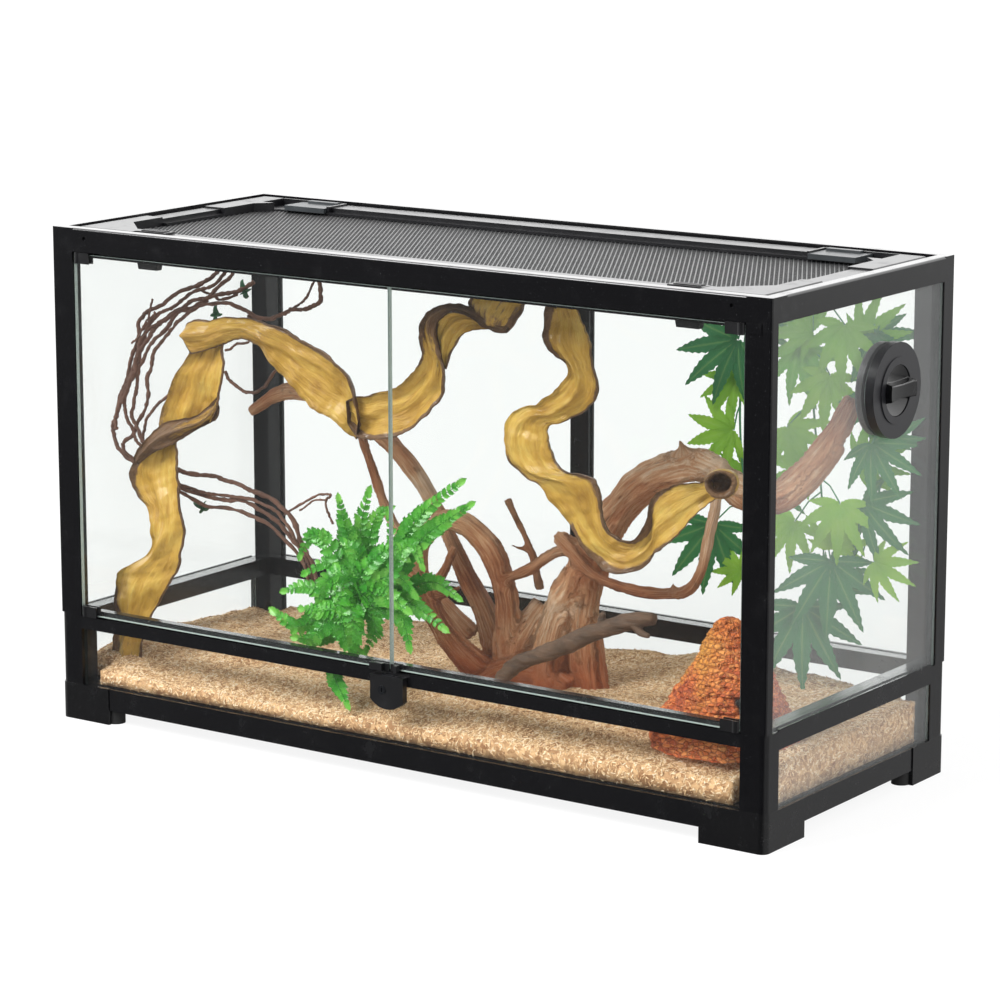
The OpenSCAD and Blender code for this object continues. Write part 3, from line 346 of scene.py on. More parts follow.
class Growth:
    """A geometry tree with named inputs, built up one node at a time."""

    def __init__(self, name, **inputs):
        self.tree = bpy.data.node_groups.new(name, "GeometryNodeTree")
        face = self.tree.interface
        face.new_socket("Geometry", in_out="INPUT", socket_type="NodeSocketGeometry")
        for key, kind in inputs.items():
            face.new_socket(key, in_out="INPUT", socket_type="NodeSocket" + kind)
        face.new_socket("Geometry", in_out="OUTPUT", socket_type="NodeSocketGeometry")
        self.given = self.tree.nodes.new("NodeGroupInput").outputs

    def step(self, kind, settings=None, pick=0, **inputs):
        """Adds a node: its settings first, then its inputs. Returns one output."""
        made = self.tree.nodes.new(kind)
        for key, value in (settings or {}).items():
            setattr(made, key, value)
        for key, value in inputs.items():
            port = made.inputs[int(key[1:]) if key[0] == "_" else key.replace("_", " ")]
            if isinstance(value, bpy.types.NodeSocket):
                self.tree.links.new(value, port)
            else:
                port.default_value = value
        return made.outputs[pick]

    def close(self, shape):
        """Makes copies real, paints them with the input Finish, and ends the tree."""
        real = self.step("GeometryNodeRealizeInstances", Geometry=shape)
        paint = self.step("GeometryNodeSetMaterial", Geometry=real,
                          Material=self.given["Finish"])
        end = self.tree.nodes.new("NodeGroupOutput")
        self.tree.links.new(paint, end.inputs["Geometry"])
        return self.tree


def grown(name, base, tree, **values):
    """Runs a node tree on a base mesh and returns its result as a plain piece."""
    carrier = bpy.data.objects.new(name + "_base", base)
    bpy.context.scene.collection.objects.link(carrier)
    step = carrier.modifiers.new("grow", "NODES")
    step.node_group = tree
    for item in tree.interface.items_tree:
        if item.in_out == "INPUT" and item.name in values:
            step[item.identifier] = values[item.name]
    ready = carrier.evaluated_get(bpy.context.evaluated_depsgraph_get())
    made = bpy.data.meshes.new_from_object(ready)
    made.name = name
    bpy.data.objects.remove(carrier)
    piece = bpy.data.objects.new(name, made)
    bpy.context.scene.collection.objects.link(piece)
    return piece


def plain_mesh(name, points, edges=(), faces=()):
    made = bpy.data.meshes.new(name)
    made.from_pydata(points, edges, faces)
    made.update()
    return made


strands = Growth("mesh_strands", Width="Float", Thickness="Float", Finish="Material")
line = strands.step("GeometryNodeMeshToCurve", Mesh=strands.given["Geometry"])
profile = strands.step("GeometryNodeCurvePrimitiveQuadrilateral",
                       Width=strands.given["Width"], Height=strands.given["Thickness"])
strand_tree = strands.close(strands.step("GeometryNodeCurveToMesh", Curve=line,
                                         Profile_Curve=profile, Fill_Caps=True))

low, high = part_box("lid_mesh")
pitch, strand_width, strand_thickness, shortest = 0.0039, 0.0011, 0.0009, 0.004
points, edges = [], []
for turn, lift in ((-30, 0.0003), (30, -0.0003)):
    along = Vector((math.sin(math.radians(turn)), math.cos(math.radians(turn))))
    across = Vector((along.y, -along.x))
    middle = (low + high) / 2
    reach = int(0.45 / pitch)
    for k in range(-reach, reach + 1):
        start = middle.xy + across * (k * pitch)
        spans = []
        for axis in (0, 1):
            a = (low[axis] - start[axis]) / along[axis]
            b = (high[axis] - start[axis]) / along[axis]
            spans.append((min(a, b), max(a, b)))
        a, b = max(p[0] for p in spans), min(p[1] for p in spans)
        if b - a > shortest:
            edges.append((len(points), len(points) + 1))
            points.append((*(start + along * a), middle.z + lift))
            points.append((*(start + along * b), middle.z + lift))
mesh_black = black_finish("mesh_black", "0e0f10", "26282a", 0.38, 0.0)
screen = grown("lid_screen", plain_mesh("strands", points, edges), strand_tree,
               Width=strand_width, Thickness=strand_thickness, Finish=mesh_black)
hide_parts("lid_mesh")
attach(screen, "lid")

# The sliding cable gates are smoky dark grey plastic.
gate_grey, s = finish("gate_grey")
smoke = s.noise(20.0, 3.0)
surface(s, s.node("BsdfPrincipled", Base_Color=smoke.between(rgb("25282a"), rgb("3b3f42")),
                  Roughness=0.34 + smoke * 0.15))
wear("cable_gate_left", gate_grey)
wear("cable_gate_right", gate_grey)

# ---- round port -------------------------------------------------------------------
# A bayonet plug in a ring that a nut clamps on the pane from inside, all in dark satin
# plastic, with a shiny knob on the plug.

port_black = black_finish("port_black", "17171a", "232327", 0.36, 0.15)
for node in ("port_ring", "port_nut", "port_plug"):
    wear(node, port_black)


def piece_of(name, points, faces):
    """A new piece in the scene."""
    made = bpy.data.objects.new(name, plain_mesh(name, points, (), faces))
    bpy.context.scene.collection.objects.link(made)
    return made


def sheet_faces(first, columns, rows):
    """The faces of a sheet whose points are laid column by column."""
    step = rows + 1
    return [(a, a + step, a + step + 1, a + 1) for i in range(columns)
            for a in range(first + i * step, first + i * step + rows)]


# The knob is a dished disc with a waisted grip bar across it, made as a sheet of columns
# along y and rows along z, and closed at its back.
low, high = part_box("port_knob")
middle, reach = (low + high) / 2, (high.y - low.y) / 2
dish_floor, dish_rise, half_bar, bar_flare = 0.0004, 0.0026, 0.0062, 0.0014
across_knob, up_knob = 48, 90
points = []
for i in range(across_knob + 1):
    y = 0.998 * reach * math.sin(math.pi * (i / across_knob - 0.5))
    for k in range(up_knob + 1):
        z = math.sqrt(reach ** 2 - y ** 2) * (2 * k / up_knob - 1)
        dish = dish_floor + dish_rise * (y * y + z * z) / reach ** 2
        half = half_bar + bar_flare * (y / reach) ** 2
        bar = 1 - min(1, max(0, (abs(z) - half + 0.0006) / 0.0018))
        top = high.x - low.x - 0.0014 * (1 - (y / reach) ** 2)
        points.append((low.x + dish + (top - dish) * bar * bar * (3 - 2 * bar),
                       middle.y + y, middle.z + z))
faces = sheet_faces(0, across_knob, up_knob)
row = up_knob + 1
rim = [i * row for i in range(across_knob)]
rim += [across_knob * row + k for k in range(up_knob)]
rim += [i * row + up_knob for i in range(across_knob, 0, -1)] + list(range(up_knob, 0, -1))
first = len(points)
points += [(low.x, *points[a][1:]) for a in rim]
for j, a in enumerate(rim):
    after = (j + 1) % len(rim)
    faces.append((a, first + j, first + after, rim[after]))
faces.append([first + j for j in range(len(rim) - 1, -1, -1)])
knob = piece_of("port_grip", points, faces)
knob.data.materials.append(black_finish("port_gloss", "060607", "0e0e10", 0.2, 0.1))
knob.data.polygons.foreach_set("use_smooth", [len(p.vertices) == 4 and abs(p.normal.x) > 0.05
                                              for p in knob.data.polygons])
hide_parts("port_knob")
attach(knob, "port_knob")

# ---- litter -------------------------------------------------------------------------
# Loose wood shavings, 20 to 50 mm deep, low at the doors and heaped to the back. A rough
# bed carries three layers of small curled chips.


def heap(x, y):
    """Height of the litter in metres at a place in millimetres."""
    z = 61 + 8 * min(1, max(0, (x + 120) / 320))
    z -= 9 * math.exp(-((x + 330) / 130) ** 2 - ((y - 120) / 110) ** 2)
    z += 13 * math.exp(-((x - 160) / 42) ** 2 - ((y - 125) / 50) ** 2)
    z += 7 * math.exp(-((x + 190) / 90) ** 2 - ((y + 20) / 60) ** 2)
    z += 5 * math.exp(-((x + 335) / 40) ** 2 - ((y + 95) / 35) ** 2)
    z += 5 * math.exp(-((x - 60) / 70) ** 2 - ((y + 90) / 40) ** 2)
    z -= 17 * math.exp(-((y + 150) / 44) ** 2)
    z += 4 * noise.noise(Vector((x / 46, y / 46, 3.1)))
    z += 2.2 * noise.noise(Vector((x / 17, y / 17, 8.4)))
    return z / 1000


low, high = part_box("substrate")
gap = 0.0018
x0, x1, y0, y1 = low.x + gap, high.x - gap, low.y + gap, high.y - gap
columns, rows, base = 152, 60, low.z + 0.0004
# the posts stand in the bed's corners
notch_x, notch_front, notch_rear = 0.0270, 0.0235, 0.0280
spots, points, faces = {}, [], []


def bed_point(i, j, top):
    key = (i, j, top)
    if key not in spots:
        x = x0 + (x1 - x0) * i / columns
        y = y0 + (y1 - y0) * j / rows
        spots[key] = len(points)
        points.append((x, y, heap(x * 1000, y * 1000) if top else base))
    return spots[key]


def in_corner(x, y):
    """Whether a post stands here."""
    side = x < x0 + notch_x or x > x1 - notch_x
    return side and (y < y0 + notch_front or y > y1 - notch_rear)


filled = set()
for i in range(columns):
    for j in range(rows):
        x = x0 + (x1 - x0) * (i + 0.5) / columns
        y = y0 + (y1 - y0) * (j + 0.5) / rows
        if not in_corner(x, y):
            filled.add((i, j))
for i, j in sorted(filled):
    ring = ((i, j), (i + 1, j), (i + 1, j + 1), (i, j + 1))
    faces.append([bed_point(a, b, True) for a, b in ring])
    faces.append([bed_point(a, b, False) for a, b in reversed(ring)])
    walls = (((i, j - 1), 0, 1), ((i + 1, j), 1, 2), ((i, j + 1), 2, 3), ((i - 1, j), 3, 0))
    for beyond, a, b in walls:
        if beyond not in filled:
            (ai, aj), (bi, bj) = ring[a], ring[b]
            faces.append([bed_point(ai, aj, False), bed_point(bi, bj, False),
                          bed_point(bi, bj, True), bed_point(ai, aj, True)])


def shavings(name, pale, tan, dark):
    """Dry wood shavings: speckled with pale faces, and darker in the gaps as painted shade."""
    made, s = finish(name)
    flake = s.node("TexVoronoi", {"distance": "EUCLIDEAN"}, 1, Vector=s.place(), Scale=260.0)
    tone = s.node("SeparateColor", Color=flake)
    # the bed carries no tone and so reads darker where it shows between the chips: painted shade
    # in the gaps
    shade = s.noise(24.0, 5.0) * 0.3 + tone * 0.3 + s.marked("tone") * 0.68
    stops = [(0.12, rgb(dark)), (0.44, rgb(tan)), (0.74, rgb(pale)),
             (1.0, (0.87, 0.74, 0.55))]
    colour = s.node("ValToRGB", {"stops": stops}, Fac=shade)
    grain = s.noise(1500.0, 3.0)
    surface(s, s.node("BsdfPrincipled", Base_Color=colour, Roughness=0.72 + grain * 0.15,
                      Normal=s.node("Bump", Strength=0.35, Distance=0.0004,
                                    Height=grain + tone * 2.0)))
    return made


def chance(growth, low, high, seed):
    """A random value for each copy: three numbers for a tuple, else one."""
    if isinstance(low, tuple):
        return growth.step("FunctionNodeRandomValue", {"data_type": "FLOAT_VECTOR"}, 0,
                           _0=low, _1=high, Seed=seed)
    return growth.step("FunctionNodeRandomValue", {"data_type": "FLOAT"}, 1,
                       _2=low, _3=high, Seed=seed)


# chips lie flat on the upper faces of a bed, turned, tilted, sized and toned by chance
strew = Growth("strewn", Shape="Object", Density="Float", Seed="Int", Size="Float",
               Finish="Material")
upward = strew.step("ShaderNodeSeparateXYZ", None, "Z",
                    Vector=strew.step("GeometryNodeInputNormal"))
upper = strew.step("FunctionNodeCompare", {"data_type": "FLOAT", "operation": "GREATER_THAN"},
                   _0=upward, _1=-0.5)
spots = strew.step("GeometryNodeDistributePointsOnFaces", None, "Points",
                   Mesh=strew.given["Geometry"], Selection=upper,
                   Density=strew.given["Density"], Seed=strew.given["Seed"])
tilt = strew.step("FunctionNodeEulerToRotation",
                  Euler=chance(strew, (-0.32, -0.32, -3.14), (0.32, 0.32, 3.14), 5))
turned = strew.step("FunctionNodeRotateRotation", {"rotation_space": "LOCAL"},
                    Rotation=spots.node.outputs["Rotation"], Rotate_By=tilt)
scale = strew.step("ShaderNodeVectorMath", {"operation": "SCALE"},
                   _0=chance(strew, (0.6, 0.6, 0.6), (1.3, 1.3, 1.2), 9),
                   Scale=strew.given["Size"])
shape = strew.step("GeometryNodeObjectInfo", None, "Geometry", Object=strew.given["Shape"])
laid = strew.step("GeometryNodeInstanceOnPoints", Points=spots, Instance=shape,
                  Rotation=turned, Scale=scale)
toned = strew.step("GeometryNodeStoreNamedAttribute",
                   {"data_type": "FLOAT", "domain": "INSTANCE"}, Geometry=laid,
                   Name="tone", Value=chance(strew, 0.0, 1.0, 12))
strew_tree = strew.close(toned)


def smooth(piece):
    piece.data.polygons.foreach_set("use_smooth", [True] * len(piece.data.polygons))


litter_finish = shavings("litter_shavings", "eccea4", "d6ae80", "8e623c")
bed = piece_of("litter_bed", points, faces)
bed.data.materials.append(litter_finish)
smooth(bed)
area = sum(p.area for p in bed.data.polygons if p.normal.z > -0.5)
chips_in_layer = 22500
# a chip is a curled three-sided splinter, 5 mm long, that the trees copy
chip = piece_of("chip", [
    (-2.6e-3, -0.8e-3, 0), (-2.6e-3, 0.8e-3, 0), (-2.4e-3, 0, 0.45e-3),
    (2.5e-3, -0.7e-3, 0.5e-3), (2.5e-3, 0.6e-3, 0.5e-3), (2.3e-3, 0, 0.95e-3),
], [(0, 2, 1), (3, 4, 5), (0, 1, 4, 3), (1, 2, 5, 4), (2, 0, 3, 5)])
for name, seed, size in (("litter_chips", 3, 0.8), ("litter_splinters", 11, 0.64),
                         ("litter_crumbs", 17, 0.5)):
    chips = grown(name, bed.data.copy(), strew_tree, Shape=chip,
                  Density=chips_in_layer / area, Seed=seed, Size=size, Finish=litter_finish)
    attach(chips, "tank")
bpy.data.objects.remove(chip)
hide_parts("substrate")
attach(bed, "tank")

# ---- driftwood ---------------------------------------------------------------------
# One gnarled root, water-worn and reddish brown, that stands in the litter: a buttressed
# stump, a limb that arches to the left, one that reaches the port, and thin loops. Limbs
# are skinned along their middle lines, fused, and given long ridges.

half_room, half_depth, litter_top, head_room = 0.3555, 0.1315, 0.070, 0.3685


def in_room(p):
    """A place in percent of half the width, half the depth and the head room."""
    return Vector((p[0] * half_room / 100 - 0.006, p[1] * half_depth / 100 + 0.00275,
                   litter_top + p[2] * head_room / 100))


def smoothed(entries, steps):
    """A curve through the entries; all their numbers are smoothed alike."""
    out = []
    last = len(entries) - 1
    for i in range(last):
        a, b = entries[max(0, i - 1)], entries[i]
        c, d = entries[i + 1], entries[min(last, i + 2)]
        for k in range(steps + (1 if i == last - 1 else 0)):
            t = k / steps
            out.append([0.5 * (2 * q + (r - p) * t + (2 * p - 5 * q + 4 * r - e) * t * t
                               + (3 * q - p - 3 * r + e) * t ** 3)
                        for p, q, r, e in zip(a, b, c, d)])
    return out


def tube_faces(first, rings, sides):
    """The skin of a tube over its rings of points, closed at both ends."""
    made = []
    for i in range(rings - 1):
        for k in range(sides):
            a, b = first + i * sides + k, first + i * sides + (k + 1) % sides
            made.append((a, b, b + sides, a + sides))
    end = first + (rings - 1) * sides
    return made + [range(first + sides - 1, first - 1, -1), range(end, end + sides)]


def limb(points, faces, entries, steps=6, sides=14, trace=None):
    """Skins one limb: entries are x, y, z in percent of the room and a radius in mm."""
    path = smoothed(entries, steps)
    middles = [in_room(p) for p in path]
    first = len(points)
    last = len(middles) - 1
    side = None
    run = 0.0
    for i, m in enumerate(middles):
        ahead = (middles[min(last, i + 1)] - middles[max(0, i - 1)]).normalized()
        if side is None:
            side = ahead.cross(Vector((0.3, 1, 0.2))).normalized()
        side = (side - ahead * side.dot(ahead)).normalized()
        up = ahead.cross(side)
        radius = path[i][3] / 1000
        if i:
            run += (m - middles[i - 1]).length
        if trace is not None:
            trace.append((m, run, side.copy(), up.copy(), radius))
        for k in range(sides):
            a = 2 * math.pi * k / sides
            points.append(m + (side * math.cos(a) + up * math.sin(a)) * radius)
    faces += tube_faces(first, len(middles), sides)


wood_limbs = [
    # the stump on the right and its limb to the port
    [[14, 6, -7, 27], [16.5, 6, 3, 24], [19.5, 6, 12, 21], [26, 3, 24, 18.5],
     [32, 0, 35, 16.5], [40, 0, 46, 15], [48, 0, 53, 15], [59, 0, 57.5, 15],
     [68, 3, 56, 11]],
    [[64, 3, 56, 11], [74, 8, 53, 10], [82, 12, 53, 11], [89, 22, 60, 11],
     [94, 29, 68, 10], [97.5, 31, 75, 8.5]],
    [[64, 1, 56, 7], [73, 4, 49, 5], [82, 8, 49, 5.5], [90, 18, 56, 6], [95, 28, 64, 5]],
    [[29, 8, -6, 19], [27.5, 8, 4, 15], [27, 6, 14, 13], [29, 3, 24, 11]],
    [[20, -12, -6, 15], [19, -9, 4, 12], [21, -3, 16, 10]],
    # roots across the litter
    [[-3, 0, -1, 9], [5, 0, 1, 13], [12, 3, 2, 18], [20, 6, 1, 20]],
    [[7, -10, -6, 20], [10, -8, 8, 13], [15, 2, 18, 9]],
    [[2, -22, -4, 13], [8, -14, 1, 13], [14, -4, 4, 14]],
    [[3, -30, -3, 9], [9, -22, 1, 12], [16, -10, 1, 15], [25, -6, -2, 13]],
    # the limb that arches over to the left
    [[4, 4, -6, 16], [-1, 0, 12, 10.5], [-8, -4, 25, 8.5], [-15, -4, 37, 7.5],
     [-24, -4, 48, 7.5], [-35, -4, 56, 8], [-48, 0, 61, 8.5], [-59, 0, 63, 8.5],
     [-68, 0, 61.5, 7.5], [-77.5, 0, 56, 4.5]],
    [[-40, -6, 56, 4.5], [-35, -8, 46, 5], [-30, -9, 36, 5], [-23, -8, 27, 5.5],
     [-15, -6, 17, 6], [-5, -2, 8, 8]],
    [[-45, -4, 60, 3], [-46, -5, 65.5, 1.6]],
    # the loop in front
    [[7, -8, 2, 13], [8.5, -13, 14, 11.5], [8, -16, 23, 10.5], [5, -19, 31, 10.5],
     [-1, -23, 37, 10], [-8, -27, 37.5, 9], [-13, -31, 32, 8], [-13, -32, 24, 7],
     [-10, -31, 16, 6.5]],
    [[3, -14, -1, 13], [-4, -26, 7, 11], [-8, -34, 14, 9.5], [-11, -38, 20, 9.5],
     [-16, -40, 24, 9], [-25, -40, 22.5, 8]],
    [[-11, -36, 19, 6.5], [-7, -30, 25, 5], [-4, -27, 32, 5]],
    [[-12, -33, 19, 5], [-6, -33, 20, 4], [-1, -31, 22.5, 2.5]],
    # thin loops on the right
    [[29, 2, 33, 6], [24, -12, 36.5, 6.5], [29, -19, 34, 5.5], [36, -19, 29, 5],
     [48, -19, 27, 5.5], [57, -19, 27.5, 5.5], [63, -19, 29, 5.5], [66.5, -18, 34, 5],
     [68, -16, 42, 5.5], [69, -12, 49, 5], [67, -4, 54, 5.5]],
    [[28, 0, 33, 6], [22, -8, 32.5, 5.5], [16, -15, 28, 5], [9.5, -18, 25, 4.2]],
    [[16, -4, 22, 4.5], [13, -2, 31, 4], [8, 0, 38, 3.6], [5, 0, 43, 4.8]],
    [[12, -2, 31, 2.5], [7, -4, 32, 2]],
    [[60, -18, 28, 3.5], [58.5, -20, 30.5, 1.6]],
    [[58, -1, 60, 6], [56, -2, 63.5, 2]],
    [[30, 6, 42, 7], [25, 8, 43.5, 2.5]],
    [[31, 6, 14, 5], [35, 6, 15.5, 2]],
]
points, faces, trace = [], [], []
for entries in wood_limbs:
    limb(points, faces, entries, trace=trace)


def fused(name, points, faces, grid, ease, rounds):
    """One skin round overlapping limbs, remeshed on a grid and eased."""
    piece = piece_of(name, points, faces)
    fuse = piece.modifiers.new("fuse", "REMESH")
    fuse.mode = "VOXEL"
    fuse.voxel_size = grid
    soften = piece.modifiers.new("ease", "SMOOTH")
    soften.factor = ease
    soften.iterations = rounds
    ready = piece.evaluated_get(bpy.context.evaluated_depsgraph_get())
    made = bpy.data.meshes.new_from_object(ready)
    old = piece.data
    piece.modifiers.clear()
    piece.data = made
    bpy.data.meshes.remove(old)
    return piece


def carve(piece, shifts):
    """Moves each point of a piece along its own normal."""
    moved = [v.co + v.normal * shift for v, shift in zip(piece.data.vertices, shifts)]
    piece.data.vertices.foreach_set("co", [c for q in moved for c in q])
    smooth(piece)


wood = fused("driftwood_root", points, faces, grid=0.0021, ease=0.6, rounds=6)

# every point learns how far along its limb and how far round it lies
tree = kdtree.KDTree(len(trace))
for i, mark in enumerate(trace):
    tree.insert(mark[0], i)
tree.balance()
along = wood.data.attributes.new("along", "FLOAT", "POINT")
around = wood.data.attributes.new("around", "FLOAT", "POINT")
shifts = []
for v in wood.data.vertices:
    total, run, turn, thick, cosine, sine = 0.0, 0.0, 0.0, 0.0, 0.0, 0.0
    for _, i, gap in tree.find_n(v.co, 4):
        m, r, side, up, radius = trace[i]
        weight = 1 / (max(gap - radius * 0.8, 0) + 0.002) ** 2
        off = v.co - m
        a = math.atan2(off.dot(up), off.dot(side))
        total += weight
        run += weight * r
        thick += weight * radius
        cosine += weight * math.cos(a)
        sine += weight * math.sin(a)
    angle = math.atan2(sine, cosine)
    run, thick = run / total, thick / total
    along.data[v.index].value = run
    around.data[v.index].value = angle
    q = Vector((math.cos(angle) * 1.7, math.sin(angle) * 1.7, run * 16))
    ridge = 1 - abs(noise.noise(q)) * 2.4
    knot = noise.noise(v.co * 26)
    lump = noise.noise(v.co * 75)
    fine = 1 - abs(noise.noise(Vector((q.x * 3, q.y * 3, q.z * 1.6)))) * 2.4
    shifts.append(thick * (0.17 * ridge + 0.2 * knot + 0.08 * fine) + 0.0010 * lump
                  - 0.0008)
carve(wood, shifts)

wood_finish, s = finish("driftwood_skin")
run, turn = s.marked("along"), s.marked("around")
fibre_at = s.node("CombineXYZ", X=s.math("COSINE", turn) * 1.3, Y=s.math("SINE", turn) * 1.3,
                  Z=run * 9.0)
fibre = s.noise(5.0, 6.0, fibre_at, 0.62)
broad = s.noise(9.0, 4.0)
height = s.node("SeparateXYZ", Vector=s.place(), pick=2)
paleness = broad * 1.7 + fibre * 1.0 - 0.85
colour = paleness.ramp((0.12, "7d4427"), (0.34, "ad6e48"), (0.56, "cb9870"), (0.8, "e6c8aa"))
# painted shade: the wood low by the litter is painted redder and darker
painted_low_shade = (1 - height.steps(0.068, 0.112)) * (0.25 + broad * 0.9)
colour = painted_low_shade.between(colour, rgb("b4572a"))
cracks = s.noise(7.0, 5.0, fibre_at, 0.7).steps(0.6, 0.7) * 0.7
colour = cracks.between(colour, rgb("4e2b19"))
hollows = s.noise(60.0, 6.0, None, 0.7).steps(0.58, 0.7) * 0.5
colour = hollows.between(colour, rgb("6e4328"))
grain = s.noise(16.0, 5.0, fibre_at, 0.7)
surface(s, s.node("BsdfPrincipled", Base_Color=colour, Roughness=0.5 + fibre * 0.25,
                  Specular_IOR_Level=0.25,
                  Normal=s.node("Bump", Strength=1.0, Distance=0.0036,
                                Height=fibre * 0.8 + grain * 0.6 - cracks * 0.8
                                - hollows * 0.5)))
wood.data.materials.append(wood_finish)
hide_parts("driftwood")
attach(wood, "tank")

# ---- vine -----------------------------------------------------------------------------
# A broad, hollow ribbon of flexible bark that spirals from the litter at the left over
# the room to the stump: ochre and glossy inside, dark and cracked along its rims.

# Vine, twigs and stick follow lines given in a view of 1000 x 1000 pixels, at a
# depth chosen for each. The view's own fit: the eye in tank widths, its turn and tilt.
tank_width, view_scale, view_x, view_y = 760, 3727.51, 500, 15.59
eye = [v * tank_width for v in (2.4875, -3.5679, 1.2136)]
view_turn, view_tilt = math.radians(-34.7415), math.radians(4.5247)
tank_x, tank_y = -6, 2.75


def on_depth(px, py, depth):
    """x and z, in mm, of a pixel of the view on the upright plane at a depth."""
    right, down = (px - view_x) / view_scale, (py - view_y) / view_scale
    ahead = math.cos(view_tilt) - down * math.sin(view_tilt)
    reach = depth - tank_y - eye[1]
    reach /= math.cos(view_turn) * ahead - math.sin(view_turn) * right
    x = eye[0] + reach * (math.sin(view_turn) * ahead + math.cos(view_turn) * right)
    z = eye[2] - reach * (math.sin(view_tilt) + down * math.cos(view_tilt))
    return x + tank_x, z


def at_depth(px, py, depth):
    """The same to the nearest mm."""
    x, z = on_depth(px, py, depth)
    return round(x), round(z)


def in_percent(x, y, z):
    """A place in mm as in_room takes it, to the nearest 0.1 percent."""
    return [round((x / 1000 + 0.006) / half_room * 100, 1),
            round((y / 1000 - 0.00275) / half_depth * 100, 1),
            round((z / 1000 - litter_top) / head_room * 100, 1)]


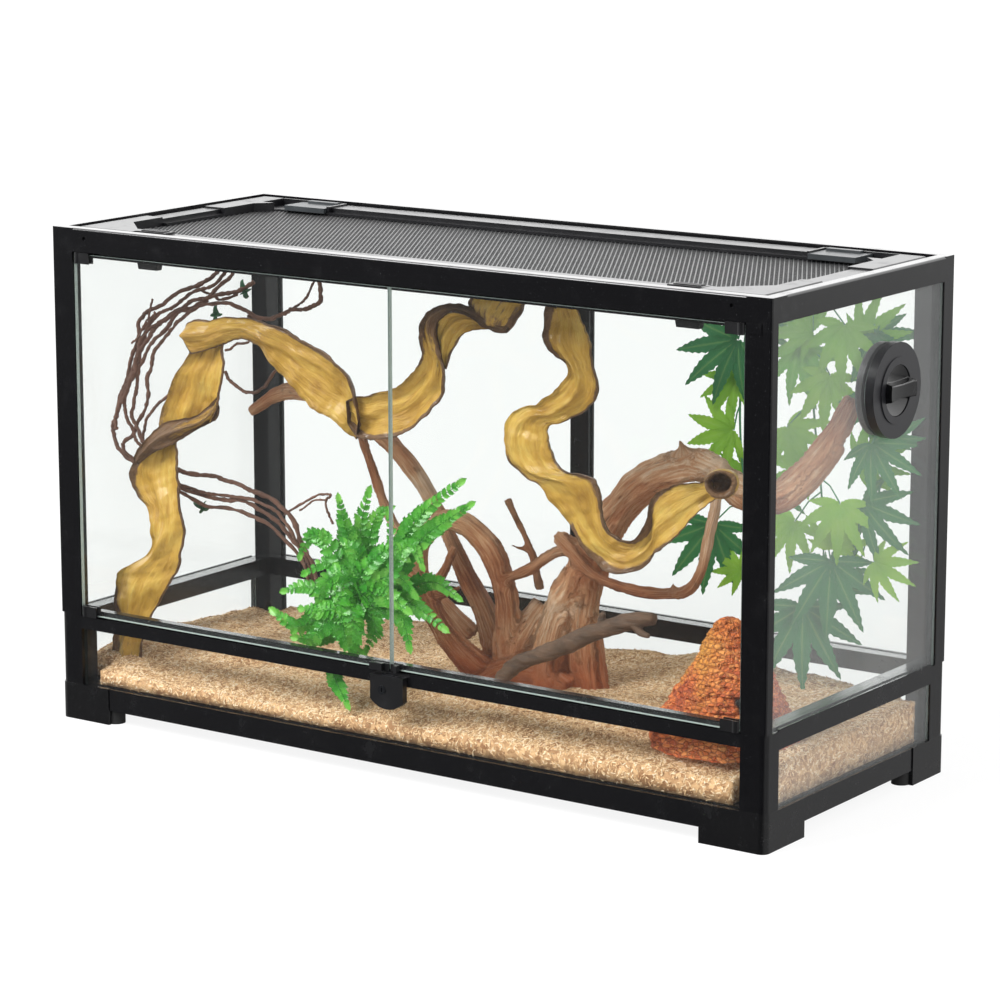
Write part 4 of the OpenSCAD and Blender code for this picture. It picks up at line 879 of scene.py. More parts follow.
# Each stretch: depths of edge one and edge two at the start, then at the end, in mm; the
# belly towards the front, in mm, the widths of the dark rim at edge one and at edge two
# and the darkness of the whole, in percent, each at even steps along the stretch; then
# its stations, the pixel of edge one and that of edge two.
vine_strips = [
    ((-108, -112, -106, -108), (2, 4, 6, 8, 8, 6, -3, -7, -8), (60, 30, 5, 0, 0, 0, 0, 10,
     30, 45), (30, 10, 8, 8, 8, 8, 8, 8, 5, 5), (35, 10, 0, 0, 0, 0, 0, 0, 0, 20),
     [(110, 662, 140, 664), (114, 638, 143, 642), (118, 612, 151, 617), (117, 595, 160, 600),
      (117, 580, 170, 585), (121, 570, 177, 572), (134, 563, 181, 559), (146, 555, 183, 545),
      (153, 543, 184, 530), (155, 530, 183, 518), (154, 518, 181, 505), (149, 505, 180, 492),
      (140, 493, 179, 478), (134, 482, 179, 465), (133, 470, 178, 452), (137, 459, 177, 441),
      (146, 448, 176, 430)]),
    ((-112, -112, -108, -106), (4, 4), (40, 40), (40, 40), (95, 80, 45, 50),
     [(139, 463, 135, 457), (147, 456, 141, 447), (160, 449, 151, 435), (175, 442, 165, 423),
      (190, 434, 182, 417), (205, 426, 200, 413), (217, 418, 213, 401),
      (221, 407, 220, 396)]),
    ((-107, -109, -105, -106), (-7, -6), (6, 6), (14, 10, 6), (10, 0, 0, 10),
     [(163, 425, 214, 421), (165, 412, 219, 408), (170, 395, 220, 395), (177, 378, 224, 378),
      (186, 364, 225, 362), (193, 352, 224, 350), (198, 341, 227, 339)]),
    ((-107, -109, -101, -99), (6, 6, 5, 2, -4, -8, -8, -5), (10, 8, 6, 8, 25, 30, 30, 45,
     60), (10, 14, 10, 0, 0, 0, 0, 5), (5, 5, 12, 20, 10, 0, 0, 0, 20),
     [(186, 331, 186, 339), (189, 322, 191, 348), (197, 319, 198, 352), (208, 320, 210, 349),
      (218, 318, 222, 345), (230, 316, 233, 340), (245, 316, 247, 338), (258, 319, 259, 342),
      (270, 323, 268, 351), (285, 329, 276, 362), (300, 337, 286, 375), (313, 344, 296, 387),
      (325, 350, 307, 399), (335, 358, 318, 408), (343, 367, 330, 415), (350, 378, 340, 422),
      (355, 392, 347, 430), (359, 406, 352, 436), (361, 420, 357, 438)]),
    ((-97, -101, -96, -98), (-6, -6, -4, 0, 3, 3), (20, 8, 4, 4, 6, 20, 40, 50, 50, 50),
     (60, 30, 22, 25, 40, 55, 60, 60, 60, 60), (30, 0, 0, 0, 10, 35, 70, 90, 90, 80),
     [(350, 398, 349, 424), (357, 394, 356, 433), (367, 395, 368, 438), (380, 391, 384, 437),
      (392, 388, 400, 435), (402, 384, 413, 427), (411, 376, 425, 416), (418, 367, 436, 406),
      (424, 358, 443, 396), (426, 350, 444, 382), (424, 342, 445, 369), (423, 333, 442, 356),
      (424, 322, 438, 343), (429, 312, 437, 330), (438, 306, 441, 320), (450, 303, 450, 313),
      (462, 304, 462, 313), (474, 308, 474, 318), (486, 315, 484, 324), (497, 321, 494, 330),
      (509, 327, 507, 332)]),
    ((-96, -94, -96, -93), (-4, -4), (5, 5), (14, 8, 8), (0, 0, 5, 20),
     [(440, 362, 446, 368), (438, 348, 450, 356), (436, 335, 456, 346), (439, 322, 461, 338),
      (447, 314, 467, 332), (460, 312, 475, 329), (474, 316, 487, 327.5),
      (488, 321, 502, 329)]),
    ((-94, -96, -89, -90), (4, 4), (25, 10, 5, 5), (30, 15, 5), (60, 30, 20, 20, 10),
     [(474, 313, 506, 332), (470, 304, 514, 325), (472, 296, 520, 314), (480, 288, 525, 303),
      (495, 281, 532, 297), (513, 277, 541, 299), (533, 277, 548, 304),
      (548, 283, 556, 308)]),
    ((-88, -86, -84, -82), (-4, -5, 2, 6, 5, 4, 3, 5, 8, 8, 6, 2, -4, -4, -6, -6, -4, -4,
     -4, -3), (35, 40, 30, 5, 0, 0, 0, 0, 0, 12, 8, 0, 0, 20, 45, 45, 30, 12, 10, 10), (5,
     5, 5, 10, 20, 14, 4, 4, 4, 10, 40, 50, 35, 28, 28, 60, 65, 20, 10, 10), (25, 10, 0, 0,
     5, 8, 0, 0, 0, 0, 0, 0, 0, 0, 0, 10, 5, 0, 0, 25),
     [(551, 292, 574, 296), (547, 308, 578, 310), (545, 322, 584, 321), (545, 336, 588, 332),
      (549, 348, 591, 345), (558, 355, 592, 358), (568, 361, 594, 370), (571, 368, 598, 380),
      (569, 375, 599, 390), (563, 383, 595, 400), (555, 391, 586, 409), (546, 397, 573, 417),
      (539, 402, 561, 422), (528, 405, 552, 423), (516, 410, 548, 428), (508, 420, 549, 435),
      (505, 433, 551, 443), (506, 447, 554, 454), (510, 459, 559, 463), (518, 469, 569, 470),
      (529, 478, 580, 472), (541, 482, 591, 475), (547, 489, 598, 481), (553, 499, 602, 492),
      (561, 509, 602, 503), (569, 520, 603, 514), (577, 533, 606, 525), (584, 545, 612, 534),
      (592, 558, 620, 539), (604, 568, 629, 540), (619, 572, 637, 537), (634, 571, 643, 530),
      (646, 565, 647, 519), (654, 553, 649, 507), (663, 547, 654, 497), (674, 537, 664, 489),
      (686, 525, 677, 484), (697, 513, 690, 482), (706, 503, 702, 481),
      (716, 499, 712, 478)]),
]


def level(values, t):
    """The value at t of a list whose values are evenly spaced from 0 to 1."""
    spot = t * (len(values) - 1)
    i = min(len(values) - 2, int(spot))
    return values[i] + (values[i + 1] - values[i]) * (spot - i)


def bark_stretch(points, faces, marks, depths, belly, rim_one, rim_two, dark, stations):
    """Skins one stretch as a cupped, rolled sheet; marks keep place, rim and face."""
    path = []
    for i, (ax, ay, bx, by) in enumerate(stations):
        t = i / (len(stations) - 1)
        path.append([*at_depth(ax, ay, level(depths[0::2], t)),
                     *at_depth(bx, by, level(depths[1::2], t))])
    path = smoothed(path, 5)
    across_steps, full_width, sheet, rolled_rim = 14, 0.010, 0.0026, 0.0030
    coarse_jag, fine_jag, lumps, dents, fold_height = 0.0012, 0.0011, 0.0048, 0.0015, 0.0046
    last = len(path) - 1
    run = len(points) * 0.001
    old = None
    for i, (ax, az, bx, bz) in enumerate(path):
        t = i / last
        one = Vector((ax, depths[0] + (depths[2] - depths[0]) * t, az)) / 1000
        two = Vector((bx, depths[1] + (depths[3] - depths[1]) * t, bz)) / 1000
        middle = (one + two) / 2
        run += (middle - old).length if old else 0
        old = middle
        half = (two - one).length / 2
        full = min(1, half / full_width)
        end = min(1, 0.35 + 5 * t, 0.35 + 5 * (1 - t))
        cup = level(belly, t) / 1000 * full
        shade, one_rim, two_rim = (level(v, t) / 100 for v in (dark, rim_one, rim_two))
        ring = []
        for face in (1, -1):
            for k in range(across_steps + 1):
                u = (k / across_steps * 2 - 1) * face
                jag = noise.noise(Vector((run * 190, u * 0.4, 3.0))) * fine_jag
                jag += noise.noise(Vector((run * 55, u * 0.4, 8.0))) * coarse_jag
                spot = one.lerp(two, (u + 1) / 2) + (two - one).normalized() * jag * u * u
                lump = noise.noise(Vector((run * 42, u * 1.3, 1.0))) * lumps * full
                lump += noise.noise(Vector((run * 150, u * 4, 5.0))) * dents * full
                fold_line = u + 0.15 - 0.5 * noise.noise(Vector((run * 16, 0, 6)))
                fold = max(0, 1 - abs(fold_line) * 3) * fold_height * full
                rolled = max(0, abs(u) - 0.7) / 0.3
                front = cup * (1 - u * u) + lump + fold + 0.0016 * rolled * full
                thick = (sheet + rolled_rim * rolled * (1 - 0.55 * rolled)) * end
                if abs(u) > 0.999:
                    front -= thick / 2 * face
                    thick = 0
                spot.y -= front - (thick if face < 0 else 0)
                edge_one = max(0, 1 - (u + 1) / max(0.01, one_rim)) * min(1, one_rim * 7)
                edge_two = max(0, 1 - (1 - u) / max(0.01, two_rim)) * min(1, two_rim * 7)
                back = min(1, max(0, 0.8 - abs(u)) * 4) * 0.75 if face < 0 else 0
                ring.append((spot, run, u, min(1, 1.35 * max(edge_one, edge_two) + shade
                                               + back)))
        start = len(points)
        for spot, *mark in ring:
            points.append(spot)
            marks.append(mark)
        if i:
            size = len(ring)
            for k in range(size):
                a, b = start - size + k, start - size + (k + 1) % size
                faces.append((a, b, b + size, a + size))
        if i in (0, last):
            cap = range(start, start + len(ring))
            faces.append(cap if i else cap[::-1])


points, faces, marks = [], [], []
for stretch in vine_strips:
    bark_stretch(points, faces, marks, *stretch)
# the curled end by the stump: a short hollow roll, its inside painted dark as shade
roll, aim = Vector((0.289, -0.086, 0.290)), Vector((0.42, -0.90, 0.12)).normalized()
side = aim.cross(Vector((0, 0, 1))).normalized()
# each ring of the roll: place along it, radius and darkness; the inner rings are painted darker
# as the shade deep in the hollow
rings = [(-0.018, 0.002, 0.3), (-0.018, 0.010, 0.2), (-0.008, 0.0125, 0.1),
         (0.004, 0.0125, 0.3), (0.007, 0.0115, 0.8), (0.0065, 0.0095, 1.0),
         (0.002, 0.0080, 1.2), (-0.010, 0.0070, 1.5), (-0.012, 0.001, 1.5)]
start, spokes = len(points), 24
for j, (ahead, radius, dark) in enumerate(rings):
    for k in range(spokes):
        a = 2 * math.pi * k / spokes
        wide = radius * (1 + 0.12 * noise.noise(Vector((math.cos(a), math.sin(a), j * 0.2))))
        points.append(roll + aim * ahead
                      + (side * math.cos(a) * 1.15 + aim.cross(side) * math.sin(a)) * wide)
        marks.append((ahead * 3, a / 3 - 1, dark))
faces += tube_faces(start, len(rings), spokes)
vine = piece_of("bark_vine", points, faces)
for key, pick in (("along", 0), ("across", 1), ("bark", 2)):
    layer = vine.data.attributes.new(key, "FLOAT", "POINT")
    layer.data.foreach_set("value", [m[pick] for m in marks])
smooth(vine)
vine_finish, s = finish("vine_bark")
run, across, rim = s.marked("along"), s.marked("across"), s.marked("bark")
fold_at = s.node("CombineXYZ", X=across * 2.2, Y=run * 14.0, Z=run * 3.0)
folds = s.noise(2.6, 6.0, fold_at, 0.62)
cloud = s.noise(26.0, 5.0, None, 0.6)
grain = s.noise(230.0, 5.0)
paleness = cloud * 0.62 + folds * 0.62 - 0.12
colour = paleness.ramp((0.2, "78531a"), (0.36, "a27828"), (0.5, "b99038"), (0.66, "c8a64e"),
                       (0.9, "e0c88a"))
broken = rim + (folds - 0.5) * 1.6 + (grain - 0.5) * 0.5
bark = (cloud * 0.7 + grain * 0.5 - 0.1).between(rgb("3b2a1e"), rgb("8a6440"))
colour = (rim.steps(0.02, 0.12) * broken.steps(0.28, 0.62)).between(colour, bark)
stain = s.noise(9.0, 5.0, None, 0.7).steps(0.58, 0.74) * 0.45
colour = stain.between(colour, rgb("7a5426"))
surface(s, s.node("BsdfPrincipled", Base_Color=colour,
                  Roughness=0.3 + folds * 0.25 + rim * 0.35, Specular_IOR_Level=0.4,
                  Coat_Weight=0.22, Coat_Roughness=0.16,
                  Normal=s.node("Bump", Strength=1.0, Distance=0.0028,
                                Height=folds * 1.1 + grain * (rim * 0.7 + 0.2))))
vine.data.materials.append(vine_finish)
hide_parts("vine")
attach(vine, "tank")

# ---- twigs ----------------------------------------------------------------------------
# Loose bundles of thin brown vine rods, rough with small buds, hung from green clips in
# the rear left corner.


rods = Growth("rods", Sides="Int", Finish="Material")
thick = rods.step("GeometryNodeInputNamedAttribute", {"data_type": "FLOAT"}, "Attribute",
                  Name="thick")
line = rods.step("GeometryNodeMeshToCurve", Mesh=rods.given["Geometry"])
profile = rods.step("GeometryNodeCurvePrimitiveCircle", Resolution=rods.given["Sides"],
                    Radius=1.0)
rod_tree = rods.close(rods.step("GeometryNodeCurveToMesh", Curve=line, Scale=thick,
                                Profile_Curve=profile, Fill_Caps=True))


def rods_along(name, lines, sides, made):
    """Knobbly rods through lines of (place, radius)."""
    points, edges, thick = [], [], []
    for line in lines:
        for i, (place, radius) in enumerate(line):
            if i:
                edges.append((len(points) - 1, len(points)))
            points.append(place)
            thick.append(radius)
    base = plain_mesh(name + "_lines", points, edges)
    layer = base.attributes.new("thick", "FLOAT", "POINT")
    layer.data.foreach_set("value", thick)
    piece = grown(name, base, rod_tree, Sides=sides, Finish=made)
    smooth(piece)
    return piece


twig_finish, s = finish("twig_bark")
patch = s.noise(60.0, 5.0)
bark = s.noise(420.0, 4.0)
surface(s, s.node("BsdfPrincipled",
                  Base_Color=(patch * 0.9 + bark * 0.4 - 0.15).between(rgb("35241d"),
                                                                       rgb("8a6250")),
                  Roughness=0.7 + bark * 0.2,
                  Normal=s.node("Bump", Strength=0.6, Distance=0.0006, Height=bark)))
# depth at the start and end in mm, thickness in steps of 0.13 mm, then pixels
twig_lines = [
    (-38, -96, 15, [(222, 268), (205, 283), (180, 291), (165, 303), (150, 311), (142, 318),
     (141, 335), (135, 355), (128, 375), (122, 395), (116, 415), (114, 430), (118, 445),
     (127, 455), (138, 463)]),
    (-40, -94, 13, [(229, 270), (215, 284), (195, 292), (175, 306), (160, 314), (150, 325),
     (143, 340), (137, 358), (132, 375), (128, 392), (126, 410), (131, 425), (138, 440),
     (144, 452)]),
    (-42, -92, 14, [(236, 271), (222, 285), (205, 300), (190, 308), (172, 316), (158, 325),
     (148, 333), (141, 345), (140, 365), (138, 385), (135, 400), (134, 415), (140, 430),
     (147, 444)]),
    (-36, -92, 15, [(256, 281), (240, 290), (212, 296), (190, 302), (175, 318), (165, 332),
     (150, 345), (143, 362), (133, 378), (125, 395), (118, 412), (116, 428)]),
    (-45, -94, 14, [(262, 319), (247, 309), (228, 302), (205, 305), (190, 312), (178, 322),
     (168, 335), (158, 350), (152, 365), (149, 380), (147, 400), (142, 415), (135, 430),
     (126, 440), (125, 448), (136, 460)]),
    (-38, -44, 10, [(240, 294), (222, 297), (208, 292), (200, 284), (216, 276), (224, 268)]),
    (-44, -88, 18, [(210, 298), (196, 306), (180, 311), (165, 318), (154, 330), (146, 345),
     (139, 356), (136, 372), (129, 385), (124, 402)]),
    (-44, -48, 16, [(320, 280), (322, 295), (316, 305), (305, 308), (292, 309), (280, 314),
     (264, 318), (250, 316)]),
    (-44, -46, 9, [(315, 281), (308, 297), (300, 302), (290, 309)]),
    (-66, -76, 8, [(155, 298), (151, 310), (145, 325), (140, 338), (133, 342)]),
    (-66, -70, 10, [(157, 310), (152, 318), (145, 330)]),
    (-84, -90, 11, [(176, 391), (161, 402), (151, 412), (146, 425), (144, 440)]),
    (-50, -46, 12, [(226, 371), (232, 380), (243, 388), (256, 391), (265, 385), (272, 375),
     (281, 365)]),
    (-50, -50, 9, [(250, 340), (238, 343), (227, 349)]),
    (-84, -36, 17, [(172, 468), (195, 474), (215, 476), (235, 483), (255, 490), (275, 500),
     (290, 515), (301, 540), (312, 565), (318, 590)]),
    (-84, -36, 15, [(172, 484), (200, 494), (225, 498), (250, 503), (270, 515), (290, 535),
     (305, 556), (316, 580)]),
    (-84, -34, 14, [(172, 486), (205, 503), (230, 508), (255, 515), (275, 528), (295, 550),
     (310, 575), (318, 600)]),
    (-84, -38, 12, [(172, 480), (198, 489), (222, 494), (246, 497), (268, 505), (285, 520),
     (296, 545), (306, 570), (314, 595)]),
    (-42, -40, 9, [(284, 513), (300, 504), (318, 495), (330, 493), (326, 500), (329, 511),
     (334, 524)]),
    (-42, -42, 7, [(300, 508), (314, 501), (327, 497)]),
    (-93, -84, 13, [(137, 458), (146, 452), (160, 458), (172, 466)]),
    (-93, -84, 13, [(140, 455), (150, 458), (162, 470), (172, 484)]),
]


def drift(place):
    """A smooth wandering direction, the same at each run."""
    return Vector([noise.noise(place + Vector((0, 0, lift))) for lift in (0, 9.3, 17.6)])


left_glass, steps_in_metre = -0.3765, 7600
strands = []
for n, (near, far, thickness, pixels) in enumerate(twig_lines):
    entries = []
    for i, pixel in enumerate(pixels):
        depth = near + (far - near) * (i / (len(pixels) - 1)) ** 0.7
        x, z = at_depth(*pixel, depth)
        entries.append([x, depth, z])
    line = []
    for i, p in enumerate(smoothed(entries, 9)):
        wobble = drift(Vector((i * 0.13, n * 3.7, 0.5))) * 0.0022
        wobble += drift(Vector((i * 0.5, n * 6.1, 4.5))) * 0.0007
        bud = 1 + 0.5 * noise.noise(Vector((i * 0.8, n * 5.1, 2.0)))
        place = Vector(p) / 1000 + wobble
        place.x = max(place.x, left_glass)
        line.append((place, thickness / steps_in_metre * bud))
    strands.append(line)
twigs = rods_along("twig_bundle", strands, 7, twig_finish)
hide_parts("twigs")
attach(twigs, "tank")

# small green clips that hold the strands
points, faces = [], []
arm_rings, arm_sides, long_arm, short_arm, arm_radius = 7, 5, 11, 5.5, 2.7
for x, y, z, turn in ((-249, -41, 398, 0.4), (-279, -47, 375, 0.0), (-286, -62, 196, 1.2)):
    for hand in range(4):
        a = turn + hand * 1.57
        reach = long_arm if hand == 1 else short_arm
        faces += tube_faces(len(points), arm_rings, arm_sides)
        for i in range(arm_rings):
            t = i / (arm_rings - 1)
            for k in range(arm_sides):
                b = 2 * math.pi * k / arm_sides
                r = arm_radius * (1 - 0.4 * t)
                points.append(((x + math.cos(a) * t * reach + math.cos(b) * r) / 1000,
                               (y - 2 * math.sin(t * 3) + math.sin(b) * r) / 1000,
                               (z + math.sin(a) * t * reach + math.cos(b) * r) / 1000))
clips = piece_of("twig_clips", points, faces)
clip_finish, s = finish("clip_green")
streak = s.noise(300.0, 3.0)
surface(s, s.node("BsdfPrincipled", Base_Color=streak.between(rgb("14482c"), rgb("2a6b40")),
                  Roughness=0.45 + streak * 0.2))
clips.data.materials.append(clip_finish)
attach(clips, "tank")

# ---- stick ----------------------------------------------------------------------------
# A short dark weathered branch with a few peeled stubs, that stands in the litter and
# leans on the stump. Its limbs are skinned and fused as the driftwood's are.

# each limb's places as pixel, depth and radius in mm, then its steps and sides
stick_limbs = [
    ([(500, 683, -60, 6), (514, 667, -54, 7), (535, 657, -52, 7), (560, 648, -52, 8),
      (585, 636, -52, 8), (610, 627, -52, 7.5), (635, 620, -52, 7.5),
      (655, 619, -52, 5)], 10, 16),
    ([(600, 632, -52, 5), (602, 620, -54, 3.4), (604, 612, -56, 1.6)], 5, 10),
    ([(632, 621, -52, 5), (640, 632, -56, 3.5), (650, 636, -58, 2)], 5, 10),
]
# the first limb starts with a foot in the litter: x, y, z and radius in mm
foot = ((92, -99, 44, 4), (80, -92, 58, 4.5), (58, -72, 70, 5))
points, faces = [], []
for pixels, steps, around in stick_limbs:
    entries = [] if points else [[*in_percent(x, y, z), radius] for x, y, z, radius in foot]
    for px, py, depth, radius in pixels:
        x, z = on_depth(px, py, depth)
        entries.append([*in_percent(x, depth, z), radius])
    limb(points, faces, entries, steps, around)
stick = fused("leaning_stick", points, faces, grid=0.0012, ease=0.5, rounds=3)
carve(stick, [0.0011 * noise.noise(Vector((v.co.x * 60, v.co.y * 260, v.co.z * 260)))
              + 0.0012 * noise.noise(v.co * 60) for v in stick.data.vertices])
stick_finish, s = finish("stick_bark")
grainy = s.node("Mapping", Vector=s.place(), Rotation=(0, 0.25, 0), Scale=(0.25, 1, 1))
streak = s.noise(240.0, 5.0, grainy, 0.6)
patch = s.noise(38.0, 4.0)
surface(s, s.node("BsdfPrincipled",
                  Base_Color=(streak * 0.9 + patch * 0.7 - 0.35).between(rgb("241a14"),
                                                                         rgb("785a42")),
                  Roughness=0.65 + streak * 0.2,
                  Normal=s.node("Bump", Strength=1.0, Distance=0.0022, Height=streak)))
stick.data.materials.append(stick_finish)
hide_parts("stick")
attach(stick, "tank")

# ---- rock hide ------------------------------------------------------------------------
# A moulded cone of red sandstone look: layered ledges, split into small blocks, ochre
# on one flank, with a cleft low on the right painted near black as the shade inside it.

rock_x, rock_y, rock_base, rock_height = 0.2875, -0.0668, 0.064, 0.108
foot_radius, top_radius, ledges = 0.0605, 0.007, 15
rings, spokes = 58, 150
points = []
for i in range(rings + 1):
    up = i / rings
    for k in range(spokes):
        a = 2 * math.pi * k / spokes
        q = Vector((math.cos(a) * 1.6, math.sin(a) * 1.6, up * 3.2))
        body = foot_radius * (1 - up) ** 0.86 + top_radius
        body *= 1 + 0.10 * noise.noise(q * 0.8) + 0.05 * noise.noise(q * 2.3)
        ledge = (up * ledges + 0.6 * noise.noise(q * 0.9)) % 1.0
        body -= 0.0026 * ledge ** 3
        block = noise.cell(Vector((a * 11, math.floor(up * ledges * 2), 0.5)))
        body += 0.0011 * (block - 0.5) + 0.0012 * noise.noise(q * 9)
        if i == rings:
            body *= 0.5
        points.append((rock_x + math.cos(a) * body, rock_y + math.sin(a) * body,
                       rock_base + rock_height * up))
rock = piece_of("rock_cone", points, tube_faces(0, rings + 1, spokes))
rock_finish, s = finish("rock_red")
where = s.node("SeparateXYZ", Vector=s.place())
tall = Socket(s.tree, where.out.node.outputs[2])
squash = s.node("Mapping", Vector=s.place(), Scale=(1, 1, 1.7))
blocks = s.node("TexVoronoi", {"feature": "DISTANCE_TO_EDGE"}, 0, Vector=squash, Scale=190.0)
cell = s.node("SeparateColor", Color=s.node("TexVoronoi", None, 1, Vector=squash,
                                            Scale=190.0))
wash = s.noise(22.0, 5.0)
paleness = cell * 0.45 + wash * 0.6
colour = paleness.ramp((0.15, "8c3f22"), (0.38, "b9572c"), (0.6, "d47238"), (0.85, "e69a58"))
ochre = (rock_x + 0.012 - where).steps(-0.01, 0.04) * wash.steps(0.34, 0.58)
ochre = ochre * tall.steps(0.085, 0.12)
colour = ochre.between(colour, rgb("cf9a3e"))
gap = 1 - blocks.steps(0.02, 0.16)
colour = (gap * 0.55).between(colour, rgb("5c2a1a"))
# painted shade: the cleft is painted near black, as the shade inside it, and sunk by the bump
cleft_x, cleft_height, cleft_slope = rock_x + 0.0355 + 0.0550, 0.103, 0.55
off_x = s.math("ABSOLUTE", where + tall * cleft_slope - cleft_x)
off_z = s.math("ABSOLUTE", tall - cleft_height)
cleft = (1 - off_x.steps(0.0015, 0.0045)) * (1 - off_z.steps(0.008, 0.0125))
front = (rock_y - Socket(s.tree, where.out.node.outputs[1])) > 0.0
colour = (cleft * front).between(colour, rgb("1d1512"))
grit = s.noise(700.0, 4.0)
surface(s, s.node("BsdfPrincipled", Base_Color=colour, Roughness=0.75 + grit * 0.15,
                  Normal=s.node("Bump", Strength=0.6, Distance=0.0014,
                                Height=blocks.steps(0.0, 0.25) + grit * 0.4 - cleft * 3.0)))
rock.data.materials.append(rock_finish)
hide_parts("rock_hide")
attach(rock, "tank")

# ---- fern -----------------------------------------------------------------------------
# A moulded plastic fern: fronds of overlapping, ruffled leaflets on arching ribs,
# bright green and shiny. One frond hangs between the litter and the glass.


copies = Growth("copies", Shape="Object", Finish="Material")
turn, size = (copies.step("GeometryNodeInputNamedAttribute", {"data_type": "FLOAT_VECTOR"},
                          "Attribute", Name=name) for name in ("turn", "grow"))
shape = copies.step("GeometryNodeObjectInfo", None, "Geometry", Object=copies.given["Shape"])
copy_tree = copies.close(copies.step(
    "GeometryNodeInstanceOnPoints", Points=copies.given["Geometry"], Instance=shape,
    Rotation=copies.step("FunctionNodeEulerToRotation", Euler=turn), Scale=size))


def set_out(name, shape, spots, made):
    """Copies a shape to spots of (place, axes, size, tone)."""
    base = plain_mesh(name + "_spots", [p[0] for p in spots])
    for key, kind, values in (
            ("turn", "FLOAT_VECTOR", [a for p in spots for a in p[1].to_euler()]),
            ("grow", "FLOAT_VECTOR", [a for p in spots for a in p[2]])):
        base.attributes.new(key, kind, "POINT").data.foreach_set("vector", values)
    base.attributes.new("tone", "FLOAT", "POINT").data.foreach_set(
        "value", [p[3] for p in spots])
    piece = grown(name, base, copy_tree, Shape=shape, Finish=made)
    smooth(piece)
    return piece


def frame_of(ahead, out):
    """Axes with x along ahead and z near out."""
    x = ahead.normalized()
    y = out.cross(x).normalized()
    return Matrix((x, y, x.cross(y))).transposed()


# a leaflet, 1 long: a ruffled tongue folded along its rib, with a scalloped rim
points = []
long_steps, wide_steps = 9, 4
for i in range(long_steps + 1):
    t = i / long_steps
    wide = 0.31 * math.sin(math.pi * min(1, 0.12 + t * 0.95)) ** 0.6
    wide *= 1 + 0.2 * math.cos(i * math.pi)
    for k in range(wide_steps + 1):
        u = k / wide_steps * 2 - 1
        points.append((t + 0.03 * abs(u), u * wide,
                       0.10 * abs(u) ** 1.5 - 0.16 * t * t
                       + 0.06 * math.cos(i * math.pi) * abs(u)))
leaflet = piece_of("leaflet", points, sheet_faces(0, long_steps, wide_steps))

fern_finish, s = finish("fern_leaf")
vein = s.noise(70.0, 4.0)
paleness = s.marked("tone") * 0.5 + vein * 0.55
colour = paleness.ramp((0.1, "1d5c1a"), (0.36, "348c26"), (0.62, "55ab34"), (0.95, "92cf5c"))
leafy = s.node("BsdfPrincipled", Base_Color=colour, Roughness=0.2 + vein * 0.2,
               Normal=s.node("Bump", Strength=0.4, Distance=0.0008,
                             Height=vein + s.noise(400.0, 3.0) * 0.3))
surface(s, s.node("MixShader", _0=0.22, _1=leafy,
                  _2=s.node("BsdfTranslucent", Color=colour)))

# each frond: depth of its tip, four places x and z along it, and leaflet length, in mm
fronds = [
    (-108, [(-66, 160), (-70, 190), (-70, 216), (-60, 242)], 15),
    (-118, [(-66, 165), (-73, 195), (-79, 216), (-82, 235)], 13),
    (-112, [(-80, 168), (-104, 194), (-119, 199), (-130, 182)], 13),
    (-100, [(-70, 165), (-64, 198), (-56, 222), (-46, 229)], 13),
    (-100, [(-40, 168), (-22, 210), (0, 237), (29, 260)], 15),
    (-112, [(-25, 178), (0, 210), (24, 229), (48, 245)], 14),
    (-122, [(-24, 180), (-15, 200), (-3, 205), (7, 192)], 12),
    (-112, [(-79, 149), (-106, 148), (-128, 151), (-146, 146)], 14),
    (-118, [(-75, 143), (-102, 132), (-130, 116), (-153, 124)], 17),
    (-126, [(-72, 140), (-91, 127), (-104, 113), (-111, 102)], 15),
    (-124, [(-68, 143), (-74, 126), (-71, 111), (-60, 101)], 17),
    (-120, [(-50, 147), (-45, 134), (-47, 121), (-55, 107)], 14),
    (-116, [(-49, 150), (-28, 145), (-18, 133), (-12, 117)], 15),
    (-108, [(-50, 150), (-23, 151), (-3, 145), (20, 135)], 15),
    (-137.5, [(-88, 94), (-80, 84), (-71, 73), (-62, 61)], 12),
    (-122, [(-69, 168), (-85, 170), (-98, 159), (-104, 144)], 14),
    (-122, [(-58, 172), (-39, 192), (-26, 200), (-14, 195)], 13),
    (-120, [(-51, 160), (-33, 174), (-17, 175), (-6, 164)], 14),
    (-104, [(-60, 150), (-48, 175), (-40, 200), (-42, 222)], 12),
    (-100, [(-75, 150), (-92, 168), (-98, 190), (-96, 205)], 12),
    (-92, [(-40, 150), (-15, 165), (5, 168), (25, 160)], 13),
    (-118, [(-58, 158), (-60, 178), (-64, 192), (-74, 198)], 16),
    (-124, [(-64, 152), (-86, 140), (-104, 136), (-120, 134)], 16),
    (-128, [(-60, 146), (-60, 134), (-62, 118), (-66, 104)], 16),
    (-124, [(-54, 156), (-40, 158), (-24, 156), (-12, 150)], 16),
    (-112, [(-66, 158), (-88, 174), (-106, 176), (-124, 166)], 15),
    (-112, [(-46, 166), (-28, 188), (-14, 196), (2, 204)], 15),
    (-120, [(-70, 150), (-92, 118), (-110, 108), (-128, 106)], 15),
]
crown = Vector((-0.060, -0.104, 0.150))
behind_pane, leaflet_gap = 14, 0.0043
luck = random.Random(7)
leaf_spots, ribs = [], []
